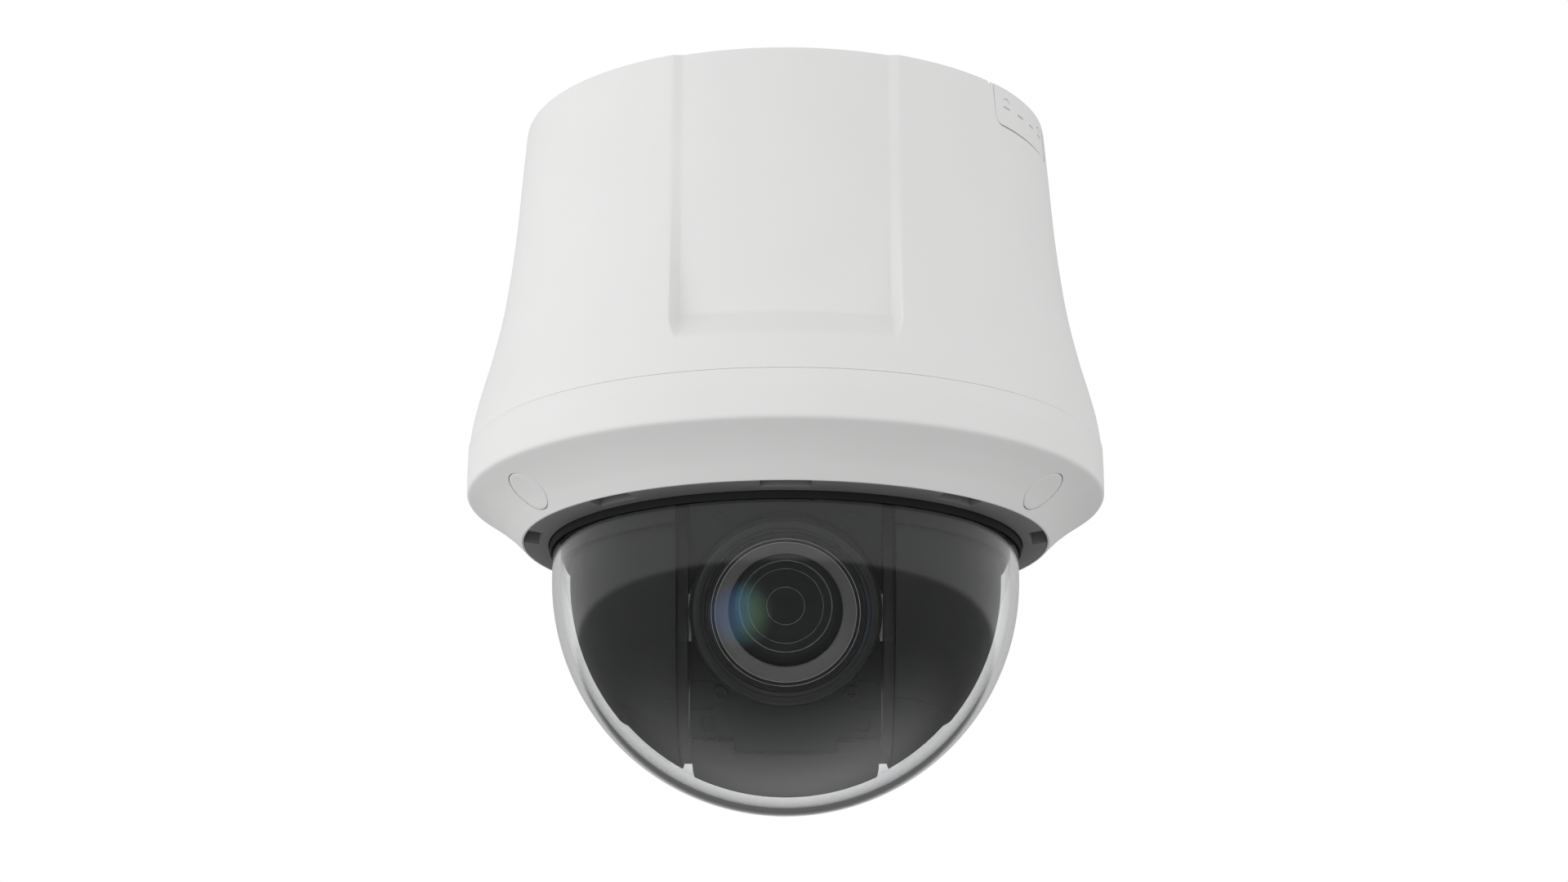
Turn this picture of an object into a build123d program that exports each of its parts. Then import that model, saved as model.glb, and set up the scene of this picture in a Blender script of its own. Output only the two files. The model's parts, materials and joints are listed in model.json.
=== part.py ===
"""Indoor pan-tilt-zoom dome camera for a ceiling, built as the separate pieces it comes apart into.

Millimetres, +Z up. The origin is the centre of the four ceiling screws on the flat top of the back box,
and the camera hangs below it. The lens faces -Y and looks REST_TILT degrees below the horizon at rest.
Angles around the body are counted from the front (-Y) towards +X.
"""

import math
import os

from build123d import *

# Outer shells
TRIM_R = 82.0  # widest radius of the whole camera
BOX_TOP_R = 68.6  # back box radius at the ceiling
SEAM_R, SEAM_Z = 81.7, -86.7  # joint between back box and trim ring
WALL = 2.4
TRIM_EDGE_Z = -99.0  # corner between the upright band and the sloping underside
RIM_R, RIM_Z = 67.6, -110.4  # lowest edge of the trim ring
BUBBLE_R, BUBBLE_WALL = 59.8, 2.0
TILT_Z = -119.6  # the tilt axis runs through the bubble's centre
BUBBLE_IN_R = BUBBLE_R - BUBBLE_WALL

# Ceiling interface and cable way
CEILING_PCD, CEILING_HOLE_R, CEILING_HOLES = 100.0, 2.75, 4
CABLE_WAY = (46.0, 30.0)
PLATE_R, PLATE_T = 65.9, 3.0  # plate that closes the back box against the ceiling
PLATE_SCREWS, PLATE_SCREW_R = (10, 130, 250), 62.6
SIDE_ENTRY_ANGLE, SIDE_ENTRY_W, SIDE_ENTRY_H = 64.0, 33.0, 10.9

# Trim ring fixings
CAP_ANGLES = (60, 180, 300)
CAP_CENTRE_R, CAP_CENTRE_Z, CAP_R = 73.1, -104.9, 5.9
SLOT_COUNT, SLOT_HALF_ANGLE = 9, 5.6
RING_SCREWS, RING_SCREW_R = (20, 140, 260), 62.6

# Inner levels, from the ceiling down
BOARD_Z, POWER_BOARD_Z = -27.6, -40.0  # undersides of the two circuit boards
BOARD_T, BOARD_R = 1.6, 56.0
CHASSIS_TOP, CHASSIS_LOW, CHASSIS_R = -48.0, -50.0, 62.5
POST_R, POST_ANGLES = 57.0, (30, 150, 270)
STANDOFF_R, STANDOFF_ANGLES = 50.0, (105, 225, 345)
PLATFORM_TOP, PLATFORM_LOW, PLATFORM_R = -66.0, -68.5, 56.4
CARD_ANGLE, RESET_SPOT = 180, (22, 8)

# Pan drive
PAN_MODULE, PAN_TEETH, PAN_PINION_TEETH = 0.8, 90, 18
PAN_CENTRES = PAN_MODULE * (PAN_TEETH + PAN_PINION_TEETH) / 2
PAN_MOTOR_ANGLE = 125
PAN_GEAR_Z, PAN_GEAR_T = -62.8, 4.6
HUB_R, HUB_BORE_R = 16.0, 10.2

# Liner, yoke and tilt drive
LINER_R, LINER_WALL, LINER_SKIRT_R = 55.2, 1.8, 56.9
LINER_STEP_Z, LINER_TOP_Z, LINER_LIP_Z = -116.6, -98.0, -155.4
SLOT_HALF = 26.3  # half the width of the slot the camera tilts in
LINER_POSTS = ((-43, -31), (-43, 31), (43, -31), (43, 31))
ARM_IN, ARM_OUT, ARM_R = 23.6, 26.0, 46.5
TILT_MODULE, TILT_TEETH, TILT_PINION_TEETH = 0.6, 60, 18
TILT_MOTOR_Z = TILT_Z + TILT_MODULE * (TILT_TEETH + TILT_PINION_TEETH) / 2
TILT_GEAR_X, TILT_GEAR_T = -33.0, 4.0  # outboard face of the tilt gear, and its width
SHAFT_R, BUSH_R = 3.0, 5.0
RUNNING = 0.05  # radial clearance of a shaft in its bush

# Camera block, drawn with its lens axis along -Y through the tilt axis, then tilted
REST_TILT = 22.0
SIDE_IN, SIDE_OUT = 21.2, 22.7
COVER_FACE, COVER_BACK = 38.0, 36.0  # distances in front of the tilt axis
COVER_TOP, COVER_LOW, TAB_LOW = 31.0, -32.0, -35.2
LENS_FACE = 47.6
BEZEL_R, BEZEL_BORE_R = 23.2, 19.5
BODY_BACK_Y = 36.0
BARREL_R, BARREL_BORE_R = 19.2, 17.3
ROD_X, ROD_H, ROD_R = 12.6, -8.0, 1.0

os.makedirs("parts", exist_ok=True)


def turned(points):
    """A solid of revolution about Z from (radius, z) points."""
    return revolve(Plane.XZ * make_face(Polyline(*points, close=True)), Axis.Z)


def ring(r_out, r_in, low, high):
    """A flat ring or tube about Z."""
    return turned([(r_in, low), (r_out, low), (r_out, high), (r_in, high)])


def disc(r, low, high):
    return Pos(0, 0, (low + high) / 2) * Cylinder(r, high - low)


def block(x, y, z):
    """A box from three (low, high) pairs."""
    size = [b - a for a, b in (x, y, z)]
    return Pos(*[(a + b) / 2 for a, b in (x, y, z)]) * Box(*size)


def at(angle, radius, shape, z=0.0):
    """Shape moved out to a radius and round to an angle from the front."""
    return Rot(0, 0, angle) * Pos(0, -radius, z) * shape


def sector(r_out, a, b, low, high):
    """A wedge about Z between two angles from the front, for cutting."""
    corners = [(0, 0)]
    for t in (a, (a + b) / 2, b):
        corners.append((r_out * math.sin(math.radians(t)), -r_out * math.cos(math.radians(t))))
    return Pos(0, 0, low) * extrude(make_face(Polyline(*corners, close=True)), high - low)


def group(shapes):
    return Compound(children=list(shapes))


def save(name, shape):
    export_step(shape, f"parts/{name}.step")


def in_camera(shape):
    """From the camera block's own frame, lens along -Y, to its place and tilt at rest."""
    return Pos(0, 0, TILT_Z) * Rot(REST_TILT, 0, 0) * shape


def lens_ring(r_out, r_in, back, front):
    """A ring about the lens axis, between two distances in front of the tilt axis."""
    return Pos(0, -(back + front) / 2, 0) * Rot(90, 0, 0) * (
        Cylinder(r_out, front - back) - Cylinder(r_in, front - back)
    )


def lens_rod(r, back, front, x=0.0, h=0.0):
    return Pos(x, -(back + front) / 2, h) * Rot(90, 0, 0) * Cylinder(r, front - back)


def lens_turned(points):
    """A solid of revolution about the lens axis from (radius, distance) points."""
    face = make_face(Polyline(*[(r, -d) for r, d in points], close=True))
    return revolve(face, Axis.Y)


def lens_element(r, back, front, back_bulge, front_bulge):
    """A round glass element between two edge distances. A negative bulge hollows that face."""
    body = lens_rod(r, back - max(back_bulge, 0), front + max(front_bulge, 0))
    for edge, bulge, way in ((front, front_bulge, 1), (back, back_bulge, -1)):
        ball_r = (r * r + bulge * bulge) / (2 * abs(bulge))
        centre = edge + way * (bulge - ball_r) if bulge > 0 else edge + way * (bulge + ball_r)
        ball = Pos(0, -centre, 0) * Sphere(ball_r)
        body = body & ball if bulge > 0 else body - ball
    return body


def screw(head_r, head_t, shank_r, shank):
    """A cross-head screw pointing down from a head whose top is at z 0."""
    body = disc(head_r, -head_t, 0) + disc(shank_r, -head_t - shank, -head_t)
    slot = Box(head_r * 1.1, head_r * 0.28, head_t)
    return body - slot - Rot(0, 0, 90) * slot


def gear_blank(teeth, module, bore_r, width, phase, backlash):
    """A spur gear about Z from z 0 up, with involute flanks. A tooth is centred at phase degrees."""
    pitch_r = teeth * module / 2
    pressure = math.radians(20)
    base_r = pitch_r * math.cos(pressure)
    root_r, tip_r = pitch_r - 1.15 * module, pitch_r + 0.85 * module
    inv_pitch = math.tan(pressure) - pressure
    half = math.pi / (2 * teeth) - backlash / (2 * pitch_r) + inv_pitch

    def flank(r):
        a = math.acos(min(1.0, base_r / r))
        return half - (math.tan(a) - a)

    start_r = max(root_r, base_r)
    radii = [start_r + (tip_r - start_r) * k / 3 for k in range(4)]
    points = []
    for n in range(teeth):
        centre = math.radians(phase) + 2 * math.pi * n / teeth
        side = [(root_r, flank(start_r))] if root_r < start_r else []
        side += [(r, flank(r)) for r in radii]
        turn = [(r, centre - a) for r, a in side] + [(r, centre + a) for r, a in reversed(side)]
        points += [(r * math.cos(t), r * math.sin(t)) for r, t in turn]
    return extrude(make_face(Polyline(*points, close=True)), width) - disc(bore_r, 0, width)


# ---------------------------------------------------------------- outer shells


def box_solid(inset=0.0, top=0.0, low=SEAM_Z):
    """The back box's flared outside moved in by inset, as a solid, cut between two heights."""
    side = [(BOX_TOP_R, 0), (71.0, -30), (74.5, -55), (79.0, -73), (SEAM_R, SEAM_Z)]
    curve = Spline(*[(r - inset, z) for r, z in side], tangents=[(0.05, -1), (0.05, -1)])
    edges = [
        Line((0, 0), (BOX_TOP_R - inset, 0)),
        curve,
        Line((SEAM_R - inset, SEAM_Z), (0, SEAM_Z)),
        Line((0, SEAM_Z), (0, 0)),
    ]
    solid = revolve(Plane.XZ * make_face(edges), Axis.Z)
    return solid if top == 0 and low == SEAM_Z else solid & disc(TRIM_R + 5, low, top)


def front_recess():
    """Cutter for the shallow panel in the front, with bevelled sides and foot."""
    floor_top, floor_low, floor_z, far = 67.4, 73.6, -70.2, TRIM_R + 6
    outside = turned([(floor_top, 0.5), (floor_low, floor_z), (80.9, -78.4), (far, -78.4), (far, 0.5)])
    inner, outer = 25.4, 27.9

    def section(z, floor_r, skin_r):
        y_in, y_out = math.sqrt(floor_r**2 - inner**2), math.sqrt(skin_r**2 - outer**2)
        wide = inner + (outer - inner) / (y_out - y_in) * (far - y_in)
        points = [(-wide, -far), (-inner, -y_in), (-inner, -40), (inner, -40), (inner, -y_in), (wide, -far)]
        return Pos(0, 0, z) * make_face(Polyline(*points, close=True))

    low = section(-71, floor_low, 78.4)
    prism = loft([section(0.5, floor_top, BOX_TOP_R), low], ruled=True)
    prism += extrude(low, 9, dir=(0, 0, -1))
    return outside & prism


def side_entry_zone(grow=0.0, r_in=62.0):
    """The patch of wall that the side cable way takes up, with round lower corners, grown all round."""
    face = RectangleRounded(SIDE_ENTRY_W + 2 * grow, 2 * (SIDE_ENTRY_H + grow), 2.4 + grow)
    return at(SIDE_ENTRY_ANGLE, r_in, Rot(90, 0, 0) * extrude(face, 20))


def back_box():
    """Moulded back box: flared side, ledge for the ceiling plate, posts for the chassis and the trim."""
    shell = box_solid() - box_solid(WALL)
    recess = front_recess()
    shell -= recess
    below_plate = -PLATE_T - 0.3
    inside = box_solid(WALL / 2, top=below_plate)
    backing = turned([(65.2, -2), (71.4, -70.5), (78.0, -80.5), (80.0, -80.5), (80.0, -2)])
    shell += (backing & block((-29.5, 29.5), (-90, -40), (-80.5, -2)) & inside) - recess
    ledge = (ring(68, 60.2, -6.2, -PLATE_T - 0.02) & box_solid(WALL / 2)) - sector(90, 44, 84, -8, 0)
    for a in PLATE_SCREWS:
        ledge -= at(a, PLATE_SCREW_R, disc(1.3, -8, 0))
    shell += ledge - recess
    for a in POST_ANGLES:
        web = at(a, POST_R, block((-1.5, 1.5), (-16, 0), (CHASSIS_TOP + 3, -10)))
        shell += (at(a, POST_R, disc(4.2, CHASSIS_TOP, -9)) + web) & inside
        shell -= at(a, POST_R, disc(1.3, CHASSIS_TOP, CHASSIS_TOP + 12))
    for a in CAP_ANGLES:
        web = at(a, CAP_CENTRE_R, block((-1.5, 1.5), (-8, 0), (-83.6, -62)))
        shell += (at(a, CAP_CENTRE_R, disc(4.3, SEAM_Z + 0.4, -60)) + web) & inside
        shell -= at(a, CAP_CENTRE_R, disc(1.3, SEAM_Z, -75))
    return shell - (side_entry_zone() - box_solid(WALL + 0.1))


def ceiling_plate():
    """Plate in the top of the back box, with the cable way and the four ceiling screw holes."""
    plate = disc(PLATE_R, -PLATE_T, 0)
    plate -= Pos(0, 0, -PLATE_T - 1) * extrude(RectangleRounded(*CABLE_WAY, 6), PLATE_T + 2)
    for n in range(CEILING_HOLES):
        plate -= at(45 + 90 * n, CEILING_PCD / 2, disc(CEILING_HOLE_R, -PLATE_T - 1, 1))
    for a in PLATE_SCREWS:
        plate -= at(a, PLATE_SCREW_R, disc(2.7, -1.6, 1) + disc(1.35, -PLATE_T - 1, 0))
    return plate


def side_entry_cover():
    """Knock-out cover of the side cable way, with its score marks and the lip that holds it in."""
    proud = 2.5
    cover = (box_solid(0.05, top=-0.1) - box_solid(proud)) & side_entry_zone(-0.25)
    skin = BOX_TOP_R + 0.9
    for n in range(4):
        a = SIDE_ENTRY_ANGLE + 6.1 * (n - 1.5)
        cover -= at(a, skin, Box(3.2, 2.2, 0.5), z=-5.3)
        if n in (0, 3):
            arch = Rot(90, 0, 0) * (Cylinder(2.0, 2.2) - Cylinder(1.55, 3))
            cover -= at(a, skin, arch & block((-3, 3), (-2, 2), (0.9, 3)), z=-4.6)
    lip = (box_solid(proud, top=-PLATE_T - 0.3) - box_solid(proud + 1.2)) & side_entry_zone(1.5)
    return cover + lip


def underside(depth=0.0):
    """The trim's sloping, slightly hollow underside as points, moved into the wall by depth."""
    points = [(81.2, TRIM_EDGE_Z - 0.3), (76.6, -102.4), (72.2, -105.9), (69.4, -108.6), (RIM_R, RIM_Z)]
    return [(r - 0.63 * depth, z + 0.777 * depth) for r, z in points]


def trim_solid(depth=0.0):
    """Everything above the underside and inside the trim's outer wall, moved in by depth."""
    low = underside(depth)
    out = TRIM_R - depth
    edge_z = TRIM_EDGE_Z + depth
    edges = [
        Line((30, -86.9), (out - 0.1, -86.9)),
        Line((out - 0.1, -86.9), (out, edge_z + 0.9)),
        ThreePointArc((out, edge_z + 0.9), (out - 0.25, edge_z + 0.15), low[0]),
        Spline(*low),
        Line(low[-1], (30, low[-1][1])),
        Line((30, low[-1][1]), (30, -86.9)),
    ]
    return revolve(Plane.XZ * make_face(edges), Axis.Z)


def cap_zone(r):
    """Cylinder square to the underside, centred on a screw cap."""
    return Pos(0, -CAP_CENTRE_R, CAP_CENTRE_Z) * Rot(-39, 0, 0) * Cylinder(r, 40)


def trim_ring():
    """Lower ring of the housing, with the screw columns and the lip that enters the back box."""
    full = trim_solid()
    bore = disc(RIM_R - 0.4, -112, -80)
    ring_shell = full - trim_solid(WALL) - bore
    lip = ring(78.6, 77.4, SEAM_Z - 1.5, -84.2) + ring(80.4, 77.4, -90, SEAM_Z - 0.2)
    ring_shell += lip
    skin = full - trim_solid(2.3)
    for a in CAP_ANGLES:
        column = disc(7.6, -112, -94) + disc(4.3, -94.5, -86.9)
        ring_shell += (at(a, CAP_CENTRE_R, column) & full) - bore
        pocket = cap_zone(CAP_R + 0.25) & skin & block((-9, 9), (-90, -60), (-120, -90))
        ring_shell -= Rot(0, 0, a) * pocket
        ring_shell -= at(a, CAP_CENTRE_R, disc(3.4, -108, -96) + disc(1.7, -97, -80))
    return ring_shell


def screw_caps():
    skin = trim_solid(0.05) - trim_solid(2.1)
    cap = cap_zone(CAP_R) & skin & block((-9, 9), (-90, -60), (-120, -90))
    return [Rot(0, 0, a) * cap for a in CAP_ANGLES]


def trim_screws():
    """Long screws under the caps and the short ones that clamp the bubble's flange."""
    up, down = Rot(180, 0, 0) * screw(2.9, 2.1, 1.25, 18), screw(1.9, 1.2, 0.75, 5.2)
    pieces = [at(a, CAP_CENTRE_R, up, z=-98.1) for a in CAP_ANGLES]
    return pieces + [at(a, RING_SCREW_R, down, z=-102.2) for a in RING_SCREWS]


def bubble_ring():
    """Dark ring round the bubble, with nine pockets in its outer edge."""
    body = turned([(60.65, -111.2), (RIM_R - 0.5, RIM_Z), (RIM_R - 0.5, -106.2), (60.65, -106.2)])
    for n in range(SLOT_COUNT):
        middle = n * 360 / SLOT_COUNT
        pocket = sector(80, middle - SLOT_HALF_ANGLE, middle + SLOT_HALF_ANGLE, -113, -107.6)
        body -= pocket - disc(63.3, -114, -106)
    for a in RING_SCREWS:
        body -= at(a, RING_SCREW_R, disc(0.8, -109.4, -106))
    return body


def bubble_gasket():
    sleeve = ring(60.55, BUBBLE_R + 0.05, -113.0, -105.4)
    flange = ring(65.0, BUBBLE_R + 0.05, -106.2, -105.4)
    for a in RING_SCREWS:
        flange -= at(a, RING_SCREW_R, disc(1.1, -107, -105))
    return sleeve + flange


def dome_bubble():
    """Clear half-sphere with a short upright wall and a screwed flange."""
    top, flange_z, low = -103.4, -105.4, TILT_Z

    def quarter(r):
        return ThreePointArc((0, low - r), (r * math.sin(0.8), low - r * math.cos(0.8)), (r, low))

    outer, inner = quarter(BUBBLE_R), quarter(BUBBLE_IN_R)
    flange = [(BUBBLE_R, flange_z), (65.0, flange_z), (65.0, top), (BUBBLE_IN_R, top)]
    walls = Polyline((BUBBLE_R, low), *flange)
    edges = [outer, walls, Line((BUBBLE_IN_R, top), (BUBBLE_IN_R, low)), inner]
    edges.append(Line((0, low - BUBBLE_IN_R), (0, low - BUBBLE_R)))
    body = revolve(Plane.XZ * make_face(edges), Axis.Z)
    for a in RING_SCREWS:
        body -= at(a, RING_SCREW_R, disc(1.1, -106, -103))
    return body


# ---------------------------------------------------------------- chassis and electronics


def pan_motor_spot(shape, z=0.0):
    return at(PAN_MOTOR_ANGLE, PAN_CENTRES, shape, z=z)


def chassis_plate():
    plate = disc(CHASSIS_R, CHASSIS_LOW, CHASSIS_TOP) + ring(28, 25, -56.6, CHASSIS_LOW)
    plate -= disc(10.3, -58, -46)
    for a in POST_ANGLES:
        plate -= at(a, POST_R, disc(1.7, -52, -46))
    for a in STANDOFF_ANGLES:
        plate -= at(a, STANDOFF_R, disc(1.2, -52, -46))
    plate -= pan_motor_spot(disc(4.6, -52, -46))
    for a in (30, 210):
        window = sector(46, a - 24, a + 24, -52, -46) - disc(32, -53, -45)
        plate -= window
    return plate


def chassis_screws():
    """Screws of the chassis posts, the main board's standoffs and the ceiling plate."""
    up, down = Rot(180, 0, 0) * screw(3.0, 1.9, 1.2, 10), screw(2.2, 1.3, 1.05, 4)
    pieces = [at(a, POST_R, up, z=CHASSIS_LOW - 1.9) for a in POST_ANGLES]
    pieces += [at(a, STANDOFF_R, down, z=BOARD_Z + BOARD_T + 1.3) for a in STANDOFF_ANGLES]
    return pieces + [at(a, PLATE_SCREW_R, screw(2.4, 1.4, 1.2, 4.2), z=-0.2) for a in PLATE_SCREWS]


def standoffs():
    tall = disc(2.5, CHASSIS_TOP, BOARD_Z) + disc(1.1, CHASSIS_LOW + 0.2, CHASSIS_TOP)
    tall -= disc(1.15, BOARD_Z - 5, BOARD_Z)
    short = disc(2.0, CHASSIS_TOP, POWER_BOARD_Z)
    pieces = [at(a, STANDOFF_R, tall) for a in STANDOFF_ANGLES]
    return pieces + [Pos(x, y, 0) * short for x in (-47, -20) for y in (-21, 21)]


def main_board():
    board = disc(BOARD_R, BOARD_Z, BOARD_Z + BOARD_T)
    for a in POST_ANGLES:
        board -= at(a, POST_R, disc(5.2, -30, -24))
    for a in STANDOFF_ANGLES:
        board -= at(a, STANDOFF_R, disc(1.2, -30, -24))
    return board


def on_board(x, y, w, d, h):
    top = BOARD_Z + BOARD_T
    return block((x - w / 2, x + w / 2), (y - d / 2, y + d / 2), (top, top + h))


def board_parts():
    """Processor, memory, network and power devices on the main board."""
    spots = [(-4, -8, 17, 17, 1.6), (-24, -8, 11, 13, 1.2), (-4, -31, 13, 11, 1.2), (14, 22, 9, 9, 1.4)]
    spots += [(-20, 20, 12, 10, 4.5), (-36, 6, 8, 8, 3.2), (-34, -14, 7, 5, 1.6), (-8, 12, 6, 6, 2.4)]
    spots += [(-24 + 5 * n, 27.5, 3.2, 2.5, 1.8) for n in range(6)]
    return [on_board(*spot) for spot in spots] + capacitors()


def capacitors():
    top = BOARD_Z + BOARD_T
    spots = [(16, -33, 4.0, 11), (9, -42, 4.0, 11)] + [(x, y, 3.1, 8) for x, y in ((-44, -12), (12, -19), (-14, 45))]
    return [Pos(x, y, top + h / 2) * Cylinder(r, h) for x, y, r, h in spots]


def network_jack():
    body = on_board(0, 0, 16, 21, 13.4) - Pos(0, -6, BOARD_Z + BOARD_T + 6.2) * Box(11.8, 12, 8.2)
    latch = Pos(0, -8, BOARD_Z + BOARD_T + 11.2) * Box(6.2, 8, 2.6)
    return Rot(0, 0, 90) * Pos(0, -38, 0) * (body - latch)


def terminal_strip(ways, pitch, depth, height):
    """Screw terminal block: one wire mouth and one screw well for each way."""
    body = on_board(0, 0, ways * pitch + 1.2, depth, height)
    top = BOARD_Z + BOARD_T
    for n in range(ways):
        x = (n - (ways - 1) / 2) * pitch
        body -= Pos(x, -depth / 2, top + height * 0.34) * Box(pitch * 0.62, depth, height * 0.34)
        body -= Pos(x, depth * 0.1, top + height) * Cylinder(pitch * 0.34, height * 0.5)
    return body


def screw_terminals():
    power = Rot(0, 0, 312) * Pos(0, -46, 0) * terminal_strip(2, 5.0, 9.0, 10.0)
    alarm = Rot(0, 0, 140) * Pos(0, -44, 0) * terminal_strip(8, 3.5, 8.0, 8.5)
    return [power, alarm]


def power_board():
    board = block((-50, -17), (-24, 24), (POWER_BOARD_Z, POWER_BOARD_Z + BOARD_T))
    for x in (-47, -20):
        for y in (-21, 21):
            board -= Pos(x, y, POWER_BOARD_Z) * Cylinder(1.0, 6)
    return [board] + power_parts()


def power_parts():
    """Transformer, choke, rectifier and capacitors standing on the power board."""
    top = POWER_BOARD_Z + BOARD_T
    core = block((-42, -28), (-7, 7), (top, top + 9.4))
    coil = block((-44, -26), (-4.6, 4.6), (top + 2, top + 7.4))
    choke = Pos(-38, 15, top + 2.5) * (Cylinder(5.2, 5) - Cylinder(2.2, 6))
    caps = [Pos(-24, y, top + 4.5) * Cylinder(3.1, 9) for y in (-15, -8, 12)]
    return [core + coil, choke, block((-44, -34), (-20, -12), (top, top + 4))] + caps


def pan_motor():
    can = disc(14.0, CHASSIS_TOP, -30.5) + disc(4.4, CHASSIS_LOW, CHASSIS_TOP)
    ears = extrude(SlotOverall(36, 7), 1.6)
    ears -= Pos(14.9, 0, 0) * Cylinder(1.2, 8) + Pos(-14.9, 0, 0) * Cylinder(1.2, 8)
    can += Rot(0, 0, 60) * Pos(0, 0, CHASSIS_TOP) * ears
    return pan_motor_spot(can - disc(1.6, CHASSIS_LOW - 1, -44))


def pan_pinion():
    """Pinion and the motor shaft it is pressed on, as one turning piece."""
    phase = 90 + 180 / PAN_PINION_TEETH  # a gap faces the big gear
    wheel = gear_blank(PAN_PINION_TEETH, PAN_MODULE, 0.8, PAN_GEAR_T, phase, 0.09)
    shaft = disc(1.5, PAN_GEAR_Z - 0.6, -44.6)
    return pan_motor_spot(Pos(0, 0, PAN_GEAR_Z) * wheel + shaft)


def slip_ring():
    flange, top = disc(13.5, CHASSIS_TOP, CHASSIS_TOP + 2), disc(5.5, CHASSIS_TOP, -43)
    return flange + top + disc(8.6, -60.0, CHASSIS_TOP)


def bearing_balls():
    return [at(24 * n, 20.0, Sphere(1.55), z=-53.6) for n in range(15)]


def bearing_race(r_out, r_in, groove_r):
    groove = Pos(0, 0, -53.6) * Torus(groove_r, 1.6)
    return ring(r_out, r_in, -56.6, -50.6) - groove


def memory_card_slot():
    body = on_board(0, 0, 15.4, 15.6, 2.2) - on_board(0, -1, 11.8, 16, 1.5)
    return Rot(0, 0, CARD_ANGLE) * Pos(0, -38, 0) * body


def memory_card():
    low = BOARD_Z + BOARD_T + 0.35
    card = block((-5.5, 5.5), (-7.8, 5.5), (low, low + 0.75)) - block((3.8, 6), (-1, 6), (low - 1, low + 2))
    return Rot(0, 0, CARD_ANGLE) * Pos(0, -38, 0) * card


def reset_switch():
    x, y = RESET_SPOT
    return on_board(x, y, 6.2, 6.2, 3.6) - Pos(x, y, BOARD_Z + BOARD_T + 3) * Cylinder(1.85, 3)


def reset_button():
    x, y = RESET_SPOT
    return Pos(x, y, BOARD_Z + BOARD_T + 4.0) * Cylinder(1.5, 3)


# ---------------------------------------------------------------- pan group


def pan_hub():
    body = ring(HUB_R, HUB_BORE_R, -57.3, -50.6) + ring(18.6, HUB_BORE_R, PLATFORM_TOP, -57.3)
    return body - ring(30, HUB_R, PAN_GEAR_Z, PAN_GEAR_Z + PAN_GEAR_T)


def pan_gear():
    wheel = gear_blank(PAN_TEETH, PAN_MODULE, HUB_R + 0.03, PAN_GEAR_T, 0, 0.09)
    wheel = Rot(0, 0, PAN_MOTOR_ANGLE - 90) * Pos(0, 0, PAN_GEAR_Z) * wheel
    for n in range(6):
        wheel -= at(60 * n, 25.5, disc(5.4, -64, -56))
    return wheel


def pan_platform():
    plate = disc(PLATFORM_R, PLATFORM_LOW, PLATFORM_TOP) - disc(9.4, -70, -64)
    for x, y in LINER_POSTS:
        plate -= Pos(x, y, 0) * disc(1.5, -70, -64)
    for side in (-1, 1):
        for y in (-14, 14):
            plate -= Pos(side * 30.5, y, 0) * disc(1.5, -70, -64)
    return plate - block((-13, 13), (26, 40), (-70, -64))


def yoke_arm(side):
    """Side plate from the platform down past the tilt axis, with its foot turned outwards."""
    x = sorted((side * ARM_IN, side * ARM_OUT))
    middle = Pos(side * (ARM_IN + ARM_OUT) / 2, 0, TILT_Z) * Rot(0, 90, 0)
    plate = middle * Cylinder(ARM_R, ARM_OUT - ARM_IN) & block(x, (-40, 40), (TILT_Z - 60, TILT_Z + 8))
    plate += block(x, (-28, 28), (TILT_Z, PLATFORM_LOW))
    foot = block(sorted((side * ARM_IN, side * 35)), (-19, 19), (PLATFORM_LOW - 2.0, PLATFORM_LOW))
    for y in (-14, 14):
        foot -= Pos(side * 30.5, y, 0) * disc(1.5, -75, -66)
    hole = Pos(side * 25, 0, TILT_Z) * Rot(0, 90, 0) * Cylinder(BUSH_R, 12)
    light = Pos(side * 25, 0, TILT_Z + 33) * Rot(0, 90, 0) * Cylinder(8, 12)
    return plate + foot - hole - light


def platform_screws():
    """Screws that hold the arms' feet and the liner posts to the platform."""
    up, down = Rot(180, 0, 0) * screw(2.6, 1.6, 1.25, 5.2), screw(2.6, 1.5, 0.95, 9.5)
    pieces = [Pos(x, y, PLATFORM_LOW - 3.6) * up for x in (-30.5, 30.5) for y in (-14, 14)]
    return pieces + [Pos(x, y, PLATFORM_TOP + 1.5) * down for x, y in LINER_POSTS]


def tilt_bushes():
    def bush(side):
        body = Cylinder(BUSH_R, ARM_OUT - ARM_IN) + Pos(0, 0, 1.6) * Cylinder(6.4, 0.8)
        body -= Cylinder(SHAFT_R + RUNNING, 12)
        return Pos(side * (ARM_IN + ARM_OUT) / 2, 0, TILT_Z) * Rot(0, side * 90, 0) * body

    return [bush(-1), bush(1)]


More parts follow.
